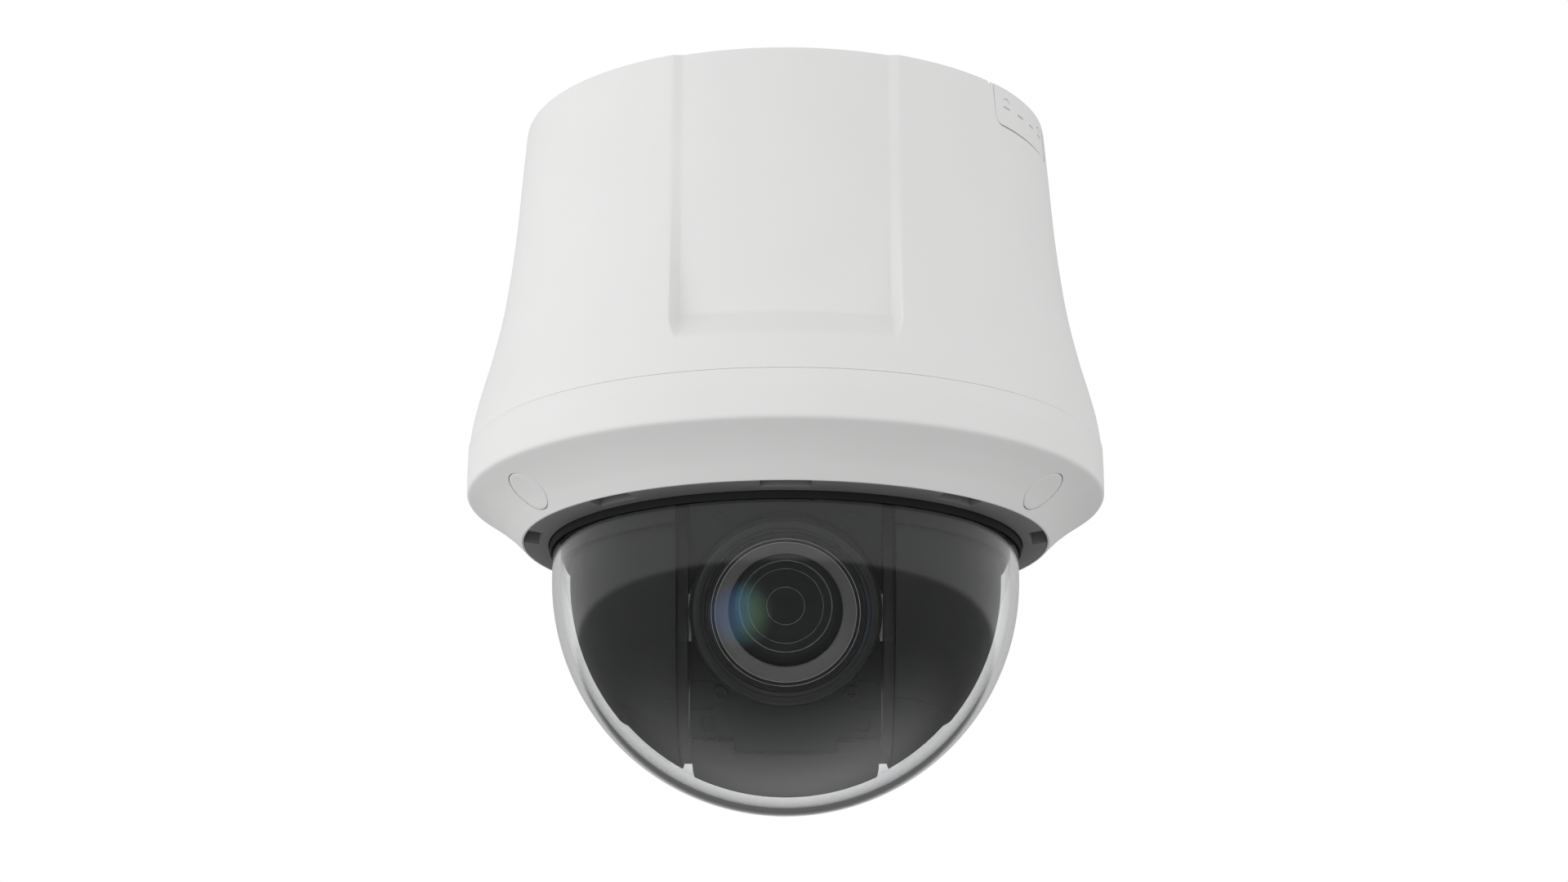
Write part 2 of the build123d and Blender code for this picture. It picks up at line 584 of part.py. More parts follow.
def liner_half(side):
    """Black cheek of the inner liner: spherical side, upright skirt, flat slot wall and two posts."""
    inner_r = LINER_R - LINER_WALL
    lip_r = LINER_R - 0.7
    skirt_z = LINER_STEP_Z
    rise = math.sqrt(LINER_R**2 - (skirt_z - TILT_Z) ** 2)

    def ball(r, low, high):
        return (Pos(0, 0, TILT_Z) * Sphere(r)) & disc(70, low, high)

    outer = ball(LINER_R, LINER_LIP_Z, skirt_z) + ball(lip_r, -180, LINER_LIP_Z)
    outer += disc(LINER_SKIRT_R, skirt_z, LINER_TOP_Z)
    hollow = ball(inner_r, -180, skirt_z + 1)
    hollow += disc(min(rise, LINER_SKIRT_R - LINER_WALL), skirt_z, LINER_TOP_Z + 1)
    x = sorted((side * SLOT_HALF, side * 70))
    x_in = sorted((side * (SLOT_HALF + 1.5), side * 70))
    window = block((-80, 80), (-19, 19), (TILT_Z + 9, LINER_TOP_Z + 1)) if side < 0 else None
    half = (outer & block(x, (-70, 70), (-180, -90))) - (hollow & block(x_in, (-70, 70), (-180, -90)))
    half -= Pos(side * 27, 0, TILT_Z) * Rot(0, 90, 0) * Cylinder(8.0, 4)
    if window is not None:
        half -= window & block((-33, -20), (-70, 70), (-180, -90))
    for px, py in LINER_POSTS:
        if px * side > 0:
            post = Pos(px, py, 0) * disc(3.0, -112, PLATFORM_LOW)
            half += post & disc(LINER_SKIRT_R, -120, -60)
            half -= Pos(px, py, 0) * disc(1.0, PLATFORM_LOW - 9, PLATFORM_LOW)
    return half


def tilt_motor_bracket():
    plate = block((-36.2, -35.0), (-13, 13), (-109, PLATFORM_LOW))
    plate += block((-48, -35.0), (-13, 13), (PLATFORM_LOW - 1.2, PLATFORM_LOW))
    plate -= Pos(-35.6, 0, TILT_MOTOR_Z) * Rot(0, 90, 0) * Cylinder(3.6, 6)
    plate -= Pos(-35.6, 0, -79) * Rot(0, 90, 0) * Cylinder(5, 6)
    return plate


def tilt_motor():
    can = Cylinder(10.0, 14.0) + Pos(0, 0, 8.0) * Cylinder(3.5, 2.0)
    can -= Pos(0, 0, 8) * Cylinder(1.5, 9)
    terminal = Pos(-9.5, 0, -3) * Box(5, 9, 5)
    return Pos(-43.2, 0, TILT_MOTOR_Z) * Rot(0, 90, 0) * (can + terminal)


def tilt_pinion():
    phase = 180 / TILT_PINION_TEETH  # a gap faces down to the big gear
    wheel = gear_blank(TILT_PINION_TEETH, TILT_MODULE, 0.6, TILT_GEAR_T, phase, 0.08)
    shaft = Pos(0, 0, -2.4) * Cylinder(1.15, 7.2)
    return Pos(TILT_GEAR_X, 0, TILT_MOTOR_Z) * Rot(0, 90, 0) * (wheel + shaft)


def driver_board():
    """Motor driver board, hung from the platform behind the camera."""
    board = block((-20, 20), (40.2, 41.8), (-91, -71.5))
    for x in (-12, 12):
        board += block((x - 4, x + 4), (34, 40.2), (-73.5, PLATFORM_LOW))
    chips = block((-12, -2), (41.8, 43.2), (-89, -80)) + block((4, 12), (41.8, 43.0), (-88, -80))
    return [board, chips, block((-9, 9), (41.8, 46.0), (-77.5, -73.5))]


# ---------------------------------------------------------------- tilting camera block


def camera_body():
    """Box that carries the lens, open to the front, with cooling fins at the back."""
    outer = block((-SIDE_OUT, SIDE_OUT), (-COVER_BACK, BODY_BACK_Y), (-24, 24))
    long_edges = outer.edges().filter_by(Axis.Y)
    outer = fillet(long_edges, 2.5)
    hollow = block((-SIDE_IN, SIDE_IN), (-COVER_BACK - 1, BODY_BACK_Y - 1.8), (-22.4, 22.4))
    body = outer - hollow
    for n in range(7):
        x = -15 + 5 * n
        body += block((x - 0.8, x + 0.8), (BODY_BACK_Y, BODY_BACK_Y + 4), (-17, 17))
    for x in (-16, 16):
        for h in (-24, 18.5):
            boss = block((x - 3, x + 3), (-COVER_BACK, -24), (h, h + 5.5))
            body += boss - lens_rod(0.9, 26, 40, x=x, h=h + 2.75)
    return body


def tilt_shafts():
    """Stub shafts with the flanges that hold them to the camera block's sides."""
    def stub(side, end):
        flange = Cylinder(7.0, 0.5)
        pin = Pos(0, 0, (end - SIDE_OUT) / 2) * Cylinder(SHAFT_R, end - SIDE_OUT)
        return Pos(side * SIDE_OUT, 0, 0) * Rot(0, side * 90, 0) * (Pos(0, 0, 0.25) * flange + pin)

    return [stub(-1, -TILT_GEAR_X + 0.8), stub(1, 28.0)]


def tilt_gear():
    wheel = gear_blank(TILT_TEETH, TILT_MODULE, SHAFT_R + 0.02, TILT_GEAR_T, 180 - REST_TILT, 0.08)
    hub = Pos(0, 0, TILT_GEAR_T + 0.7) * (Cylinder(5.5, 1.4) - Cylinder(SHAFT_R, 3))
    return Pos(TILT_GEAR_X, 0, 0) * Rot(0, 90, 0) * (wheel + hub)


def front_cover():
    """Black plate round the lens, with a tab below that stands behind the tilt cover's notch."""
    plate = block((-SIDE_OUT, SIDE_OUT), (-COVER_FACE, -COVER_BACK - 0.05), (COVER_LOW, COVER_TOP))
    plate = fillet(plate.edges().filter_by(Axis.Y), 2.0)
    tab = block((-12.2, 12.2), (-COVER_FACE, -COVER_BACK - 0.05), (TAB_LOW, COVER_LOW + 3))
    plate += fillet(tab.edges().filter_by(Axis.Y), 1.2)
    plate -= lens_rod(BEZEL_BORE_R - 0.2, 34, 40)
    for x in (-16, 16):
        for h in (-21.25, 21.25):
            plate -= lens_rod(1.1, 34, 41, x=x, h=h)
    return plate


def cover_screws():
    piece = Rot(90, 0, 0) * screw(1.8, 1.1, 0.85, 8)
    return [Pos(x, -COVER_FACE - 1.1, h) * piece for x in (-16, 16) for h in (-21.25, 21.25)]


def lens_bezel():
    """Round black bezel standing on the front cover, with a rolled lip and an inner step."""
    points = [(19.4, COVER_FACE + 0.05), (BEZEL_R, COVER_FACE + 0.05), (BEZEL_R, LENS_FACE - 1.2)]
    points += [(BEZEL_R - 0.35, LENS_FACE - 0.35), (BEZEL_R - 1.2, LENS_FACE)]
    body = lens_turned(points + [(20.4, LENS_FACE), (19.4, LENS_FACE - 1.0)])
    for x in (-16, 16):
        for h in (-21.25, 21.25):
            body -= lens_rod(2.3, 34, COVER_FACE + 2.2, x=x, h=h)
    return body


def side_clips():
    """Bright spring clips beside the lens that hold its barrel to the camera block."""
    def clip(side):
        leaf = block(sorted((side * (SIDE_OUT + 0.02), side * 23.35)), (-43, -31), (-7.6, 3.9))
        return leaf - lens_rod(BEZEL_R + 0.03, COVER_FACE, 50)

    return [clip(-1), clip(1)]


def lens_barrel():
    tube = lens_ring(BARREL_R, BARREL_BORE_R, -15, 46.4)
    shelf = lens_ring(BARREL_BORE_R + 0.2, 13.8, 33.6, 35.2)
    rear = lens_ring(BARREL_BORE_R + 0.2, 7.0, -15, -13.4)
    body = tube + shelf + rear
    for x in (-ROD_X, ROD_X):
        body -= lens_rod(ROD_R, -20, 40, x=x, h=ROD_H)
    return body


def front_retainer():
    """Stepped cone that holds the front element and shades it from the side."""
    points = [(14.0, 42.0), (17.25, 45.6), (17.25, 46.5), (19.3, 46.5), (19.3, 47.1), (16.9, 47.1)]
    return lens_turned(points + [(16.6, 45.8), (14.0, 43.0)])


def guide_rods():
    return [lens_rod(ROD_R, -14.6, 35.0, x=x, h=ROD_H) for x in (-ROD_X, ROD_X)]


def sliding_cell(r_out, r_in, back, front):
    """Lens cell that runs on the two rods: one round sleeve and one open fork."""
    cell = lens_ring(r_out, r_in, back, front)
    wide = block((-ROD_X - 1.5, ROD_X + 1.5), (-front, -back), (ROD_H - 1.2, ROD_H + 1.2))
    cell += wide - lens_rod(r_out - 0.3, back - 1, front + 1)
    cell += lens_ring(1.9, 0.4, back, front).moved(Location((ROD_X, 0, ROD_H)))
    cell -= lens_rod(ROD_R + RUNNING, back - 1, front + 1, x=ROD_X, h=ROD_H)
    half = ROD_R + RUNNING
    fork = block((-ROD_X - 4, -ROD_X), (-front - 1, -back + 1), (ROD_H - half, ROD_H + half))
    cell -= fork + lens_rod(half, back - 1, front + 1, x=-ROD_X, h=ROD_H)
    return cell


def ir_filter_frame():
    frame = block((-13.5, 4.5), (7.4, 8.8), (-4.8, 4.8))
    for x in (0, -9):
        frame -= lens_rod(3.6, -12, -4, x=x)
    return frame


def ir_filter_glass():
    return [lens_rod(3.55, -8.6, -7.6, x=x) for x in (0, -9)]


def tilt_cover():
    """Curved black band below the lens, notched for the tab and carried on two ribs from the block."""
    start, stop, top = 25.0, 118.0, COVER_LOW - 0.3
    shell = Sphere(LINER_R - 0.2) - Sphere(LINER_R - 1.8)
    span = []
    for t in (start, (start + stop) / 2, stop):
        span.append((-90 * math.cos(math.radians(t)), -90 * math.sin(math.radians(t))))
    wedge = Plane.YZ * make_face(Polyline((0, 0), span[0], span[1], span[2], close=True))
    wedge = extrude(wedge, SIDE_OUT + 0.2, both=True)
    band = shell & wedge & block((-SIDE_OUT - 0.2, SIDE_OUT + 0.2), (-70, 70), (-70, top))
    band -= block((-12.6, 12.6), (-70, -20), (TAB_LOW - 0.4, 0))
    solid = Sphere(LINER_R - 1.0)
    for x in (-18.6, 17.0):
        rib = block((x, x + 1.6), (-34, 34), (-60, -24.05)) & wedge & solid
        band += rib - block((-30, 30), (-20, 20), (-46, -24))
    return band


def sensor_board():
    """Board behind the lens, with the image sensor on its front and a connector behind."""
    board = block((-19, 19), (20.4, 22.0), (-19, 19)) + block((-6, 6), (22.0, 24.6), (-16, -11))
    return [board, block((-5.5, 5.5), (18.6, 20.4), (-4.8, 4.8))]


def processor_board():
    board = block((-20, 20), (27.0, 28.4), (-20, 20))
    chips = block((-8, 8), (25.4, 27.0), (-7, 7)) + block((10, 17), (25.8, 27.0), (-7, 3))
    post, place = block((-1.8, 1.8), (22.0, 27.0), (-1.8, 1.8)), (-16.8, 16.8)
    return [board, chips] + [Pos(x, 0, h) * post for x in place for h in place]


# ---------------------------------------------------------------- pieces by moving body

HOUSING = {
    "back_box": back_box,
    "ceiling_plate": ceiling_plate,
    "side_entry_cover": side_entry_cover,
    "trim_ring": trim_ring,
    "screw_caps": screw_caps,
    "trim_screws": trim_screws,
    "bubble_ring": bubble_ring,
    "bubble_gasket": bubble_gasket,
    "dome_bubble": dome_bubble,
    "chassis_plate": chassis_plate,
    "chassis_screws": chassis_screws,
    "board_standoffs": standoffs,
    "main_board": main_board,
    "board_parts": board_parts,
    "network_jack": network_jack,
    "screw_terminals": screw_terminals,
    "power_board": power_board,
    "pan_motor": pan_motor,
    "slip_ring": slip_ring,
    "pan_bearing_outer": lambda: [bearing_race(24.95, 20.9, 20.0)] + bearing_balls(),
    "memory_card_slot": memory_card_slot,
    "reset_switch": reset_switch,
    "memory_card": memory_card,
    "reset_button": reset_button,
    "pan_pinion": pan_pinion,
}

PAN = {
    "pan_hub": pan_hub,
    "pan_bearing_inner": lambda: bearing_race(19.1, 16.05, 20.0),
    "pan_gear": pan_gear,
    "pan_platform": pan_platform,
    "yoke_arm_left": lambda: yoke_arm(-1),
    "yoke_arm_right": lambda: yoke_arm(1),
    "platform_screws": platform_screws,
    "tilt_bushes": tilt_bushes,
    "liner_left": lambda: liner_half(-1),
    "liner_right": lambda: liner_half(1),
    "tilt_motor_bracket": tilt_motor_bracket,
    "tilt_motor": tilt_motor,
    "tilt_pinion": tilt_pinion,
    "driver_board": driver_board,
}

CAMERA = {
    "camera_body": camera_body,
    "tilt_shafts": tilt_shafts,
    "tilt_gear": tilt_gear,
    "front_cover": front_cover,
    "cover_screws": cover_screws,
    "lens_bezel": lens_bezel,
    "side_clips": side_clips,
    "lens_barrel": lens_barrel,
    "front_retainer": front_retainer,
    "front_lens": lambda: lens_element(15.6, 37.6, 39.6, -0.5, 1.9),
    "second_lens": lambda: lens_element(13.6, 33.7, 35.1, -0.6, 0.5),
    "guide_rods": guide_rods,
    "zoom_cell": lambda: sliding_cell(11.9, 9.0, 14, 21),
    "zoom_lens": lambda: lens_element(8.95, 16.0, 19.0, 0.8, 1.0),
    "focus_cell": lambda: sliding_cell(11.4, 7.5, -2, 4),
    "focus_lens": lambda: lens_element(7.45, -1.0, 2.0, 0.8, 0.9),
    "ir_filter_frame": ir_filter_frame,
    "ir_filter_glass": ir_filter_glass,
    "tilt_cover": tilt_cover,
    "sensor_board": sensor_board,
    "processor_board": processor_board,
}


def as_shape(made):
    return group(made) if isinstance(made, list) else made


if __name__ == "__main__":
    for name, make in {**HOUSING, **PAN}.items():
        save(name, as_shape(make()))
    for name, make in CAMERA.items():
        save(name, in_camera(as_shape(make())))
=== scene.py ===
import json
import math

import bmesh
import bpy
from bpy.props import FloatProperty, FloatVectorProperty, IntProperty, PointerProperty
from mathutils import Matrix, Vector


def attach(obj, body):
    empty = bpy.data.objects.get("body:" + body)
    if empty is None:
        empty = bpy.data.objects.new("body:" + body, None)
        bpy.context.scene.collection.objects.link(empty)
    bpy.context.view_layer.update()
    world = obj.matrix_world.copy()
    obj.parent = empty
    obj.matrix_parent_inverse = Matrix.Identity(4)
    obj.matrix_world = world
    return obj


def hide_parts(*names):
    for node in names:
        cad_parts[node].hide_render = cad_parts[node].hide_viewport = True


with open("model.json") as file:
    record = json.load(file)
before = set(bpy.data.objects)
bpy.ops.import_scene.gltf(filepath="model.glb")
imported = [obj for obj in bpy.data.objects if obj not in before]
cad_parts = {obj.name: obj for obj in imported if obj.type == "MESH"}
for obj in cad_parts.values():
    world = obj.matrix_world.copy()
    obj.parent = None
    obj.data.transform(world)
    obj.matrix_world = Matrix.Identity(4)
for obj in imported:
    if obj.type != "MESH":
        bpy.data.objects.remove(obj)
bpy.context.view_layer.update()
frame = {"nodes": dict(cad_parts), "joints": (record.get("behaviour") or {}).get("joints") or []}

bl_info = {
    "name": "Ceiling Dome Camera",
    "version": (1, 0, 0),
    "blender": (4, 5, 0),
    "location": "3D View > Sidebar > Dome Camera",
    "description": "Builds the shells, bubble and lens of a ceiling pan-tilt-zoom camera around its frame",
    "category": "Object",
}

MM = 0.001
TILT_JOINT = next(j for j in frame["joints"] if j["name"] == "tilt_turn")
TILT_Z = TILT_JOINT["pos_m"][2] / MM
REST_TILT = math.radians(22.0)
LENS_SPACE = Matrix.Translation((0, 0, TILT_Z * MM)) @ Matrix.Rotation(REST_TILT, 4, "X")
# A turned piece's +Z points out of the lens here.
LENS_AXIS = LENS_SPACE @ Matrix.Rotation(math.radians(90), 4, "X")

# ------------------------------------------------------------------ node helpers


def shader(name):
    """A new material with a Principled shader, and its node tree, shader and object coordinates."""
    material = bpy.data.materials.new(name)
    material.use_nodes = True
    tree = material.node_tree
    principled = tree.nodes["Principled BSDF"]
    coords = tree.nodes.new("ShaderNodeTexCoord")
    return material, tree, principled, coords.outputs["Object"]


def grain(tree, coords, size_mm, detail=3.0, stretch=None, roughness=0.55):
    """Noise whose features are about size_mm across, optionally stretched along the axes."""
    noise = tree.nodes.new("ShaderNodeTexNoise")
    noise.inputs["Scale"].default_value = 1.0 / (size_mm * MM)
    noise.inputs["Detail"].default_value = detail
    noise.inputs["Roughness"].default_value = roughness
    if stretch is not None:
        mapping = tree.nodes.new("ShaderNodeMapping")
        mapping.inputs["Scale"].default_value = stretch
        tree.links.new(coords, mapping.inputs["Vector"])
        coords = mapping.outputs["Vector"]
    tree.links.new(coords, noise.inputs["Vector"])
    return noise.outputs["Fac"]


def spread(tree, value, low, high, start=0.3, stop=0.7):
    """A value in start..stop spread over low..high."""
    node = tree.nodes.new("ShaderNodeMapRange")
    for key, number in (("From Min", start), ("From Max", stop), ("To Min", low), ("To Max", high)):
        node.inputs[key].default_value = number
    tree.links.new(value, node.inputs["Value"])
    return node.outputs["Result"]


def tint(tree, value, dark, light):
    """A colour between dark and light by value."""
    ramp = tree.nodes.new("ShaderNodeValToRGB")
    ramp.color_ramp.elements[0].position, ramp.color_ramp.elements[1].position = 0.3, 0.7
    ramp.color_ramp.elements[0].color = (*dark, 1)
    ramp.color_ramp.elements[1].color = (*light, 1)
    tree.links.new(value, ramp.inputs["Fac"])
    return ramp.outputs["Color"]


def bump(tree, height, depth_mm, strength=1.0, under=None):
    """A normal raised by height up to depth_mm, on top of the normal under it."""
    node = tree.nodes.new("ShaderNodeBump")
    node.inputs["Strength"].default_value = strength
    node.inputs["Distance"].default_value = depth_mm * MM
    tree.links.new(height, node.inputs["Height"])
    if under is not None:
        tree.links.new(under, node.inputs["Normal"])
    return node.outputs["Normal"]


def shade_of(colour, factor):
    """The colour made lighter or darker by factor."""
    return tuple(min(1.0, c * factor) for c in colour[:3])


def once(make, name, *details):
    """The material of this name, made on its first use."""
    return bpy.data.materials.get(name) or make(name, *details)


def moulded(name, colour, rough=(0.4, 0.5), grain_mm=0.35, depth_mm=0.012, mottle=0.03, specular=0.5):
    """Moulded or painted surface: fine spark texture, faint clouding of the colour and uneven sheen."""
    material, tree, principled, coords = shader(name)
    cloud = grain(tree, coords, 28.0, 4.0)
    fine = grain(tree, coords, grain_mm, 2.0)
    scuff = grain(tree, coords, 6.0, 6.0, roughness=0.7)
    clouded = tint(tree, cloud, shade_of(colour, 1 - mottle), shade_of(colour, 1 + mottle))
    tree.links.new(clouded, principled.inputs["Base Color"])
    tree.links.new(spread(tree, scuff, rough[0], rough[1]), principled.inputs["Roughness"])
    swell = bump(tree, cloud, 0.02, 0.4)
    tree.links.new(bump(tree, fine, depth_mm, 1.0, swell), principled.inputs["Normal"])
    principled.inputs["Specular IOR Level"].default_value = specular
    return material


def turned_metal(name, colour, rough=(0.22, 0.38), stretch=(1, 1, 14), metallic=1.0):
    """Machined or drawn metal: fine directional marks, uneven sheen and a few dull spots."""
    material, tree, principled, coords = shader(name)
    marks = grain(tree, coords, 1.2, 4.0, stretch)
    spots = grain(tree, coords, 9.0, 5.0)
    spotted = tint(tree, spots, shade_of(colour, 0.88), shade_of(colour, 1.06))
    tree.links.new(spotted, principled.inputs["Base Color"])
    tree.links.new(spread(tree, marks, rough[0], rough[1]), principled.inputs["Roughness"])
    tree.links.new(bump(tree, marks, 0.006, 0.7), principled.inputs["Normal"])
    principled.inputs["Metallic"].default_value = metallic
    return material


def clear_shell(name, colour, rough, ior):
    """Clear moulded plastic that lets light through to what it covers, with a faint haze."""
    material, tree, principled, coords = shader(name)
    principled.inputs["Transmission Weight"].default_value = 1.0
    principled.inputs["IOR"].default_value = ior
    haze = grain(tree, coords, 22.0, 3.0)
    hazed = tint(tree, haze, shade_of(colour, 0.985), shade_of(colour, 1.0))
    tree.links.new(hazed, principled.inputs["Base Color"])
    tree.links.new(spread(tree, haze, rough[0], rough[1]), principled.inputs["Roughness"])
    return material


def circuit(name, colour):
    """Solder mask over copper tracks, with a fine weave of glass cloth under it."""
    material, tree, principled, coords = shader(name)
    bricks = tree.nodes.new("ShaderNodeTexBrick")
    bricks.inputs["Scale"].default_value = 260.0
    bricks.inputs["Mortar Size"].default_value = 0.012
    bricks.inputs["Color1"].default_value = (*shade_of(colour, 0.8), 1)
    bricks.inputs["Color2"].default_value = (*shade_of(colour, 1.1), 1)
    bricks.inputs["Mortar"].default_value = (*shade_of(colour, 1.9), 1)
    tree.links.new(coords, bricks.inputs["Vector"])
    tree.links.new(bricks.outputs["Color"], principled.inputs["Base Color"])
    weave = grain(tree, coords, 0.5, 2.0)
    tree.links.new(spread(tree, weave, 0.22, 0.4), principled.inputs["Roughness"])
    tree.links.new(bump(tree, bricks.outputs["Fac"], 0.03, 0.6), principled.inputs["Normal"])
    return material


# ------------------------------------------------------------------ mesh helpers


def curve_through(points, steps=12):
    """Smooth curve through points (Catmull-Rom, as a list)."""
    out = []
    padded = [points[0]] + list(points) + [points[-1]]
    for a, b, c, d in zip(padded, padded[1:], padded[2:], padded[3:]):
        for n in range(steps):
            t = n / steps
            out.append(
                tuple(
                    0.5 * (2 * b[k] + (c[k] - a[k]) * t + (2 * a[k] - 5 * b[k] + 4 * c[k] - d[k]) * t * t
                           + (3 * b[k] - a[k] - 3 * c[k] + d[k]) * t**3)
                    for k in range(2)
                )
            )
    out.append(tuple(points[-1]))
    return out


def rounded(corners, steps=5):
    """Closed outline from (x, y, radius) corners, each rounded by its radius."""
    out = []
    count = len(corners)
    for n in range(count):
        before, here, after = (Vector(corners[(n + k) % count][:2]) for k in (-1, 0, 1))
        r = corners[n][2]
        u, v = (before - here).normalized(), (after - here).normalized()
        half = math.acos(max(-1.0, min(1.0, u.dot(v)))) / 2
        if r <= 0 or half > math.pi / 2 - 0.01:
            out.append(tuple(here))
            continue
        reach = r / math.tan(half)
        centre = here + (u + v).normalized() * (r / math.sin(half))
        start, stop = here + u * reach - centre, here + v * reach - centre
        sweep = start.angle_signed(stop)
        for k in range(steps + 1):
            out.append(tuple(centre + Matrix.Rotation(-sweep * k / steps, 2) @ start))
    return out


def smooth(mesh, crease):
    """Smooth shading with sharp edges where faces meet at more than crease degrees."""
    for polygon in mesh.polygons:
        polygon.use_smooth = True
    mesh.set_sharp_from_angle(angle=math.radians(crease))


def bridge(one, other):
    """Faces between two closed rings of points; a ring may be one point repeated."""
    faces = []
    for k in range(len(one)):
        m = (k + 1) % len(one)
        corners = list(dict.fromkeys((one[k], one[m], other[m], other[k])))
        if len(corners) > 2:
            faces.append(corners)
    return faces


def prism_faces(count):
    """Faces of a prism whose two ends have count points each."""
    sides = [(n, (n + 1) % count, count + (n + 1) % count, count + n) for n in range(count)]
    return [list(range(count)), list(range(2 * count - 1, count - 1, -1))] + sides


def mesh_object(name, verts, faces, place=None, crease=30.0):
    """A smooth-shaded object from points in millimetres, set at place."""
    mesh = bpy.data.meshes.new(name)
    mesh.from_pydata([Vector(v) * MM for v in verts], [], faces)
    bm = bmesh.new()
    bm.from_mesh(mesh)
    bmesh.ops.remove_doubles(bm, verts=bm.verts, dist=1e-7)
    bmesh.ops.recalc_face_normals(bm, faces=bm.faces)
    bm.to_mesh(mesh)
    bm.free()
    if place is not None:
        mesh.transform(place)
    smooth(mesh, crease)
    obj = bpy.data.objects.new(name, mesh)
    bpy.context.scene.collection.objects.link(obj)
    return obj


def turned_mesh(name, outline, segments=192, place=None, crease=30.0, point_at=None):
    """Closed (radius, z) outline turned about Z. point_at(row, r, z, n) may give each point's own x and y."""
    verts, faces, rings = [], [], []
    angles = [2 * math.pi * n / segments for n in range(segments)]
    for row, (r, z) in enumerate(outline):
        if r < 1e-6:
            rings.append([len(verts)] * len(angles))
            verts.append((0, 0, z))
            continue
        ring = []
        for n, a in enumerate(angles):
            x, y = point_at(row, r, z, n) if point_at else (r * math.sin(a), -r * math.cos(a))
            ring.append(len(verts))
            verts.append((x, y, z))
        rings.append(ring)
    for one, other in zip(rings, rings[1:] + rings[:1]):
        faces += bridge(one, other)
    return mesh_object(name, verts, faces, place, crease)


def slab(name, outline, low, high, place=None, crease=30.0):
    """Closed outline in X and Z with thickness along Y from low to high."""
    verts = [(x, low, z) for x, z in outline] + [(x, high, z) for x, z in outline]
    return mesh_object(name, verts, prism_faces(len(outline)), place, crease)


def carve(obj, cutters, crease=30.0):
    """Cuts the cutters out of obj for good, and removes them."""
    for cutter in cutters:
        modifier = obj.modifiers.new("cut", "BOOLEAN")
        modifier.operation = "DIFFERENCE"
        modifier.solver = "EXACT"
        modifier.object = cutter
    bpy.context.view_layer.update()
    graph = bpy.context.evaluated_depsgraph_get()
    mesh = bpy.data.meshes.new_from_object(obj.evaluated_get(graph))
    obj.modifiers.clear()
    obj.data = mesh
    for cutter in cutters:
        bpy.data.objects.remove(cutter)
    smooth(mesh, crease)


def dress(obj, material):
    """Gives an object one material."""
    obj.data.materials.clear()
    obj.data.materials.append(material)


def finish_piece(obj, material, body, slot, *nodes):
    """Gives a built piece its material and its body, and hides the nodes it stands for. The slot is not used.
    """
    dress(obj, material)
    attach(obj, body)
    if nodes:
        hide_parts(*nodes)


def rod_cutter(name, radius, low, high, place, sides=48):
    """A round rod along its own Z that carve() takes out."""
    return turned_mesh(name, [(0, low), (radius, low), (radius, high), (0, high)], sides, place)


def around(angle, radius=0.0, z=0.0):
    """Placement at an angle from the front, moved out by radius."""
    turn = Matrix.Rotation(math.radians(angle), 4, "Z")
    return turn @ Matrix.Translation((0, -radius * MM, z * MM))


# ------------------------------------------------------------------ settings


class ShellSettings(bpy.types.PropertyGroup):
    """White housing and the ring round the bubble."""

    white: FloatVectorProperty(
        name="Shell colour", description="Colour of the moulded housing",
        subtype="COLOR", default=(0.80, 0.80, 0.795), min=0, max=1)
    grey: FloatVectorProperty(
        name="Ring colour", description="Colour of the ring round the bubble",
        subtype="COLOR", default=(0.2, 0.2, 0.202), min=0, max=1)
    groove: FloatProperty(
        name="Recess edge", description="Roundness of the front panel's edges, in millimetres",
        default=0.22, min=0.1, max=3)
    segments: IntProperty(
        name="Segments", description="Faces round the turned pieces", default=256, min=64, max=720)


class BubbleSettings(bpy.types.PropertyGroup):
    """Clear bubble."""

    colour: FloatVectorProperty(
        name="Bubble colour", description="Tint of the clear bubble",
        subtype="COLOR", default=(0.97, 0.975, 0.98), min=0, max=1)
    ior: FloatProperty(
        name="Bubble index", description="Refractive index of the bubble", default=1.49, min=1.0, max=2.0)
    radius: FloatProperty(
        name="Bubble radius", description="Outer radius in millimetres", default=59.8, min=40, max=80)
    wall: FloatProperty(
        name="Bubble wall", description="Wall thickness in millimetres", default=2.0, min=0.5, max=5)


class CameraSettings(bpy.types.PropertyGroup):
    """Liner, lens coating and steel pieces."""

    black: FloatVectorProperty(
        name="Liner colour", description="Colour of the liner and covers",
        subtype="COLOR", default=(0.028, 0.028, 0.029), min=0, max=1)
    coating: FloatVectorProperty(
        name="Lens coating", description="Tint that the lens coating reflects",
        subtype="COLOR", default=(0.5, 0.58, 0.85), min=0, max=1)
    steel: FloatVectorProperty(
        name="Steel colour", description="Colour of bright steel pieces",
        subtype="COLOR", default=(0.62, 0.62, 0.63), min=0, max=1)


class StageSettings(bpy.types.PropertyGroup):
    """Floor, light and camera."""

    floor_drop: FloatProperty(
        name="Floor drop", description="How far the floor lies below the ceiling face",
        unit="LENGTH", default=0.62, min=0.2, max=5)
    lens: FloatProperty(
        name="Focal length", description="Viewing camera's focal length in millimetres",
        default=71.57, min=10, max=300)
    pitch: FloatProperty(
        name="Camera pitch", description="How far the viewing camera looks up",
        subtype="ANGLE", default=math.radians(15.544))


def shell_settings():
    """The housing's sizes and colours."""
    return bpy.context.scene.dome_shell


def camera_settings():
    """The colours of the liner, the lens and the steel."""
    return bpy.context.scene.dome_camera


# ------------------------------------------------------------------ shells

